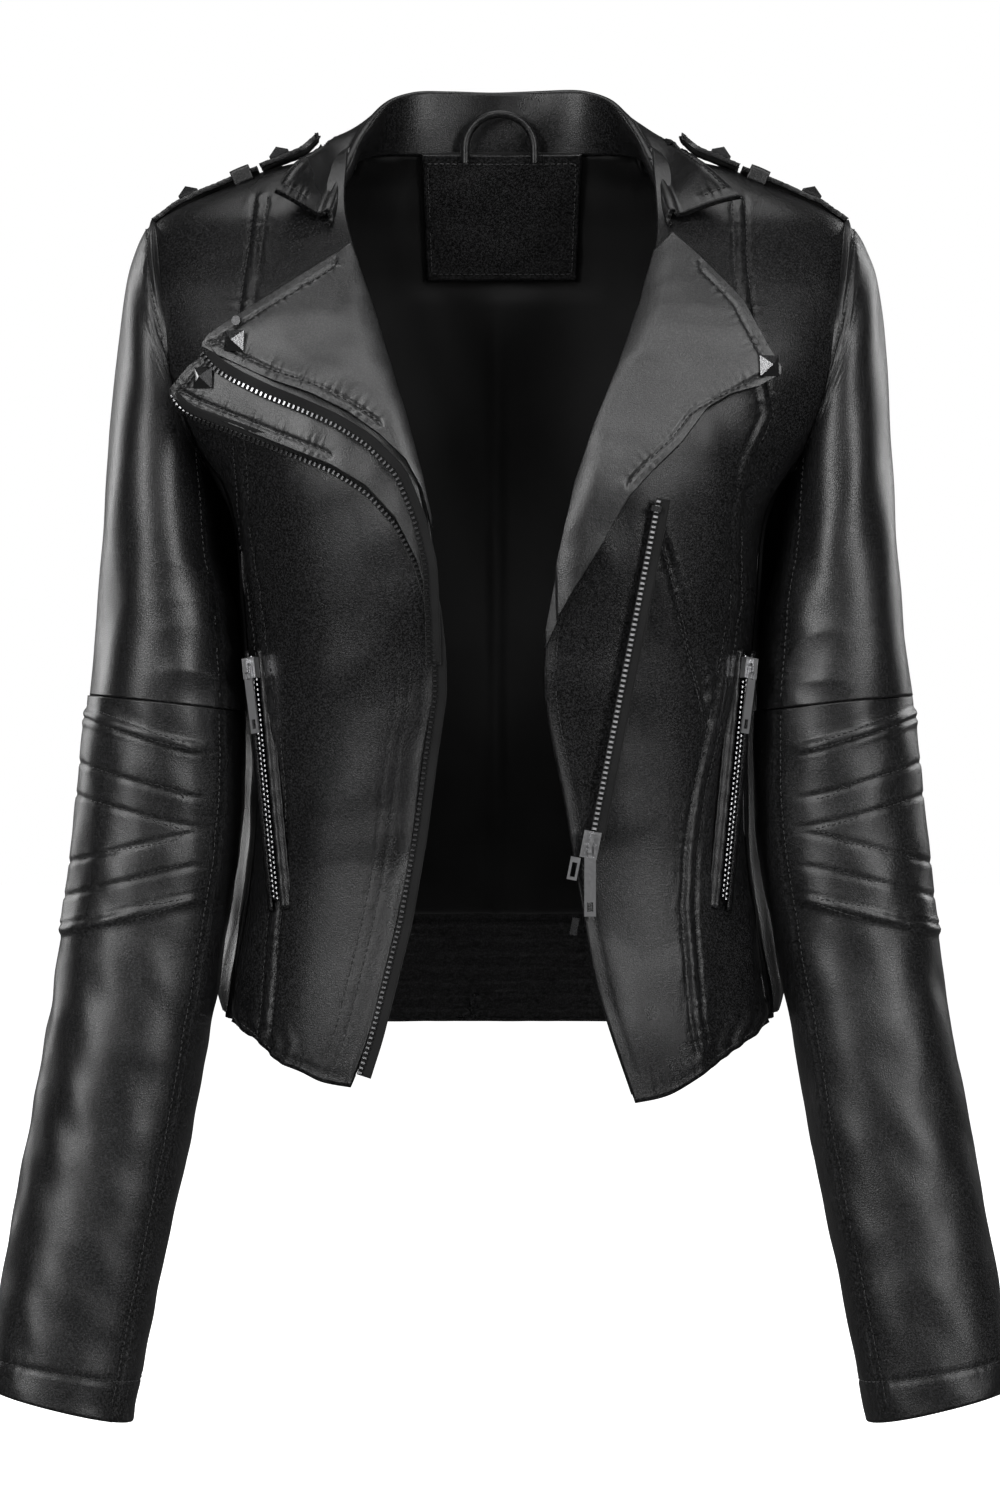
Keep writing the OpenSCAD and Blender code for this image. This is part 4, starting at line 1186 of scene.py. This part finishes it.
def make_lower_sleeve(side):
    """Elbow panel with its fan of seams, then the forearm and its cuff."""
    g, t = sleeve_grid(side, JOIN, 12, 260)
    x, z = np.abs(g[..., 0]), g[..., 2]
    seam = sleeve_surface(side, np.linspace(JOIN, 12, 120), 222)
    outer = mix(214, 226, (z + 330) / -110)
    across = np.clip((x - ELBOW_IN) / (outer - ELBOW_IN), 0, 1.25)
    front = step(ELBOW_IN - 8, ELBOW_IN + 4, x)
    quilt = np.zeros(g.shape[:2])
    for z_out, z_in, depth in ELBOW_SEAMS:
        at = mix(z_in, z_out, across**1.15)
        quilt -= depth * np.exp(-(((z - at) / 1.3) ** 2))
        quilt += 0.125 * depth * np.exp(-(((z - at) / 5.0) ** 2)) * np.sin(x * 0.8 + z_in)
    top = mix(ELBOW_SEAMS[0][1], ELBOW_SEAMS[0][0], across)
    low = mix(ELBOW_SEAMS[-1][1], ELBOW_SEAMS[-1][0], across)
    pad = step(low - 3, low + 3, z) * step(top + 3, top - 3, z)
    band_top = np.exp(-(((z - top + 5.5) / 4.0) ** 4))
    band_low = np.exp(-(((z - low - 4.5) / 4.0) ** 4))
    r = (0.7 * quilt + 0.9 * pad + 0.8 * (band_top + band_low)) * front
    r += 0.7 * waves(g, 111 + side, 110, 5, (1, 1, 0.4)) + 0.35 * waves(g, 113 + side, 30, 7)
    bend = np.exp(-(((z + 455 + 0.35 * (x - 190)) / 16) ** 2))
    r -= 0.8 * bend * (1 - front * pad)
    r -= 0.14 * creases(g, 117 + side, 60, (0.8, 1, 0.9)) * step(12, 10, t) * (1 - front * pad)
    hem = ring_line(side, 11.72)
    r += seam_relief(g, [(seam, 1.1, 1.4, 0.4), (hem, 0.8, 1.2, 0.35)])
    r *= step(12, 11.9, t) * 0.8 + 0.2
    lower = cloth(NAME[side] + "_sleeve_lower", g + normals(g, True) * r[..., None], 1.6,
                  MAT["leather"], closed=True)
    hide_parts(NAME[side] + "_elbow_upper", NAME[side] + "_elbow_lower",
                NAME[side] + "_forearm")
    lower_sleeve_joint(lower, side)
    rows = [hem] + elbow_lines(side)
    rows.append(sleeve_surface(side, np.linspace(JOIN + 0.1, 11.9, 120), 226))
    lower_sleeve_joint(stitches(NAME[side] + "_cuff_stitches", lower, rows), side)


def make_sleeve_linings(side):
    for name, node, first, last, joint in (
        ("_sleeve_lining_upper", "_upper_sleeve_lining", 0.02, JOIN, upper_sleeve_joint),
        ("_sleeve_lining_lower", "_lower_sleeve_lining", JOIN, 11.93, lower_sleeve_joint),
    ):
        g, t = sleeve_grid(side, first, last, 70, -4.4, 70)
        clear = 2.6 * step(2.4, 0.8, t)
        g = g + normals(g, True) * (0.6 * waves(g, 121, 40, 6) - clear)[..., None]
        obj = cloth(NAME[side] + name, g, 0.6, MAT["lining"], closed=True)
        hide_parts(NAME[side] + node)
        joint(obj, side, "lining_black")


# ---- making everything ----
for side in (-1, 1):
    make_front(side)
    make_facing(side)
    make_front_lining(side)
    make_shoulder(side)
    make_side(side)
    make_pocket(side)
    make_upper_sleeve(side)
    make_lower_sleeve(side)
    make_sleeve_linings(side)
    make_strap(side, RIDGE_LINE, NAME[side] + "_strap", NAME[side] + "_epaulette_strap",
               "jacket_body", False)
    make_strap(side, TAB_LINE, NAME[side] + "_tab_leather", NAME[side] + "_epaulette_tab",
               NAME[side] + "_tab", True)
    make_keeper(side)

make_leaf(-1, "right_lapel_leather", "right_lapel", RIGHT_LAPEL, 79, 10.2, 131)
make_leaf(-1, "right_flap_leather", "right_lapel_flap", RIGHT_FLAP, 79, 6.4, 137, 0.9)
make_leaf(1, "left_lapel_leather", "left_lapel", LEFT_LAPEL, 91, 6.8, 139)
make_right_zips()
make_main_zip()
make_back()
make_back_lining()
make_waistband()
make_neck_patch()
make_collar()

# Carried-over hardware keeps its CAD shape and takes its metal here.
HARDWARE = {
    "gunmetal": [
        "epaulette_studs", "right_tab_stud", "left_tab_stud", "right_lapel_studs",
        "left_lapel_stud",
    ],
    "chrome": [
        "right_pocket_slider", "left_pocket_slider", "right_pocket_pull", "left_pocket_pull",
        "main_slider", "main_pull", "inner_pull",
    ],
    "teeth": ["main_zip_stops"],
    "lining": ["right_pocket_bag", "left_pocket_bag"],
    # The hang loop takes the darker copy of the leather: painted shade.
    "leather_painted_shade": ["hang_loop"],
}
for key, names in HARDWARE.items():
    for name in names:
        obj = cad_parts[name]
        if not obj.material_slots:
            obj.data.materials.append(MAT[key])
        for slot in obj.material_slots:
            slot.material = MAT[key]


# ---- room, light and camera ----
def plane(name, size, place, material):
    bpy.ops.mesh.primitive_plane_add(size=size, location=place)
    obj = bpy.context.object
    obj.name = name
    obj.data.materials.append(material)
    return obj


def studio_material():
    m, _, shader, _ = node_material("studio", (0.8, 0.8, 0.8), 0.9, 0.0, 0.1)
    shader.inputs["Emission Color"].default_value = (1, 1, 1, 1)
    shader.inputs["Emission Strength"].default_value = 1.0
    return m


floor = plane("floor", 24, (0, 0, cad_box[0][2] - 0.06), studio_material())
floor.visible_glossy = False


def studio_world():
    """White all round where it is seen, and dimmer where it lights the leather."""
    world = bpy.data.worlds.new("studio_light")
    world.use_nodes = True
    nt = world.node_tree
    back = nt.nodes["Background"]
    back.inputs["Color"].default_value = (1, 1, 1, 1)
    path = nt.nodes.new("ShaderNodeLightPath")
    level = nt.nodes.new("ShaderNodeMapRange")
    level.inputs["To Min"].default_value = 0.07
    level.inputs["To Max"].default_value = 1.0
    nt.links.new(path.outputs["Is Camera Ray"], level.inputs["Value"])
    nt.links.new(level.outputs["Result"], back.inputs["Strength"])
    bpy.context.scene.world = world


studio_world()
bpy.context.scene.view_settings.view_transform = "Standard"


def softbox(name, place, target, size, power):
    lamp = bpy.data.lights.new(name, "AREA")
    lamp.shape = "RECTANGLE"
    lamp.size, lamp.size_y = size
    lamp.energy = power
    obj = bpy.data.objects.new(name, lamp)
    obj.location = place
    obj.rotation_euler = (Vector(target) - Vector(place)).to_track_quat("-Z", "Y").to_euler()
    bpy.context.scene.collection.objects.link(obj)


softbox("key_left", (-1.35, -2.0, 0.55), (0, 0, -0.35), (0.5, 1.5), 52)
softbox("key_right", (1.35, -2.0, 0.5), (0, 0, -0.35), (0.5, 1.5), 44)
softbox("front_top", (0, -2.0, 1.6), (0, 0, -0.3), (1.3, 0.5), 26)
softbox("top", (0, 0.1, 1.5), (0, 0, -0.3), (1.2, 0.7), 14)
softbox("behind_left", (-1.6, 1.3, 0.3), (0, 0, -0.35), (0.6, 1.4), 16)
softbox("behind_right", (1.5, 1.5, 0.5), (0, 0, -0.35), (0.6, 1.4), 14)

camera = bpy.data.cameras.new("camera")
camera.angle = 2 * math.atan(405 / 2600)
camera_obj = bpy.data.objects.new("camera", camera)
camera_obj.location = (0, -2.65, -0.3478)
camera_obj.rotation_euler = (math.radians(90), 0, 0)
bpy.context.scene.collection.objects.link(camera_obj)
bpy.context.scene.camera = camera_obj
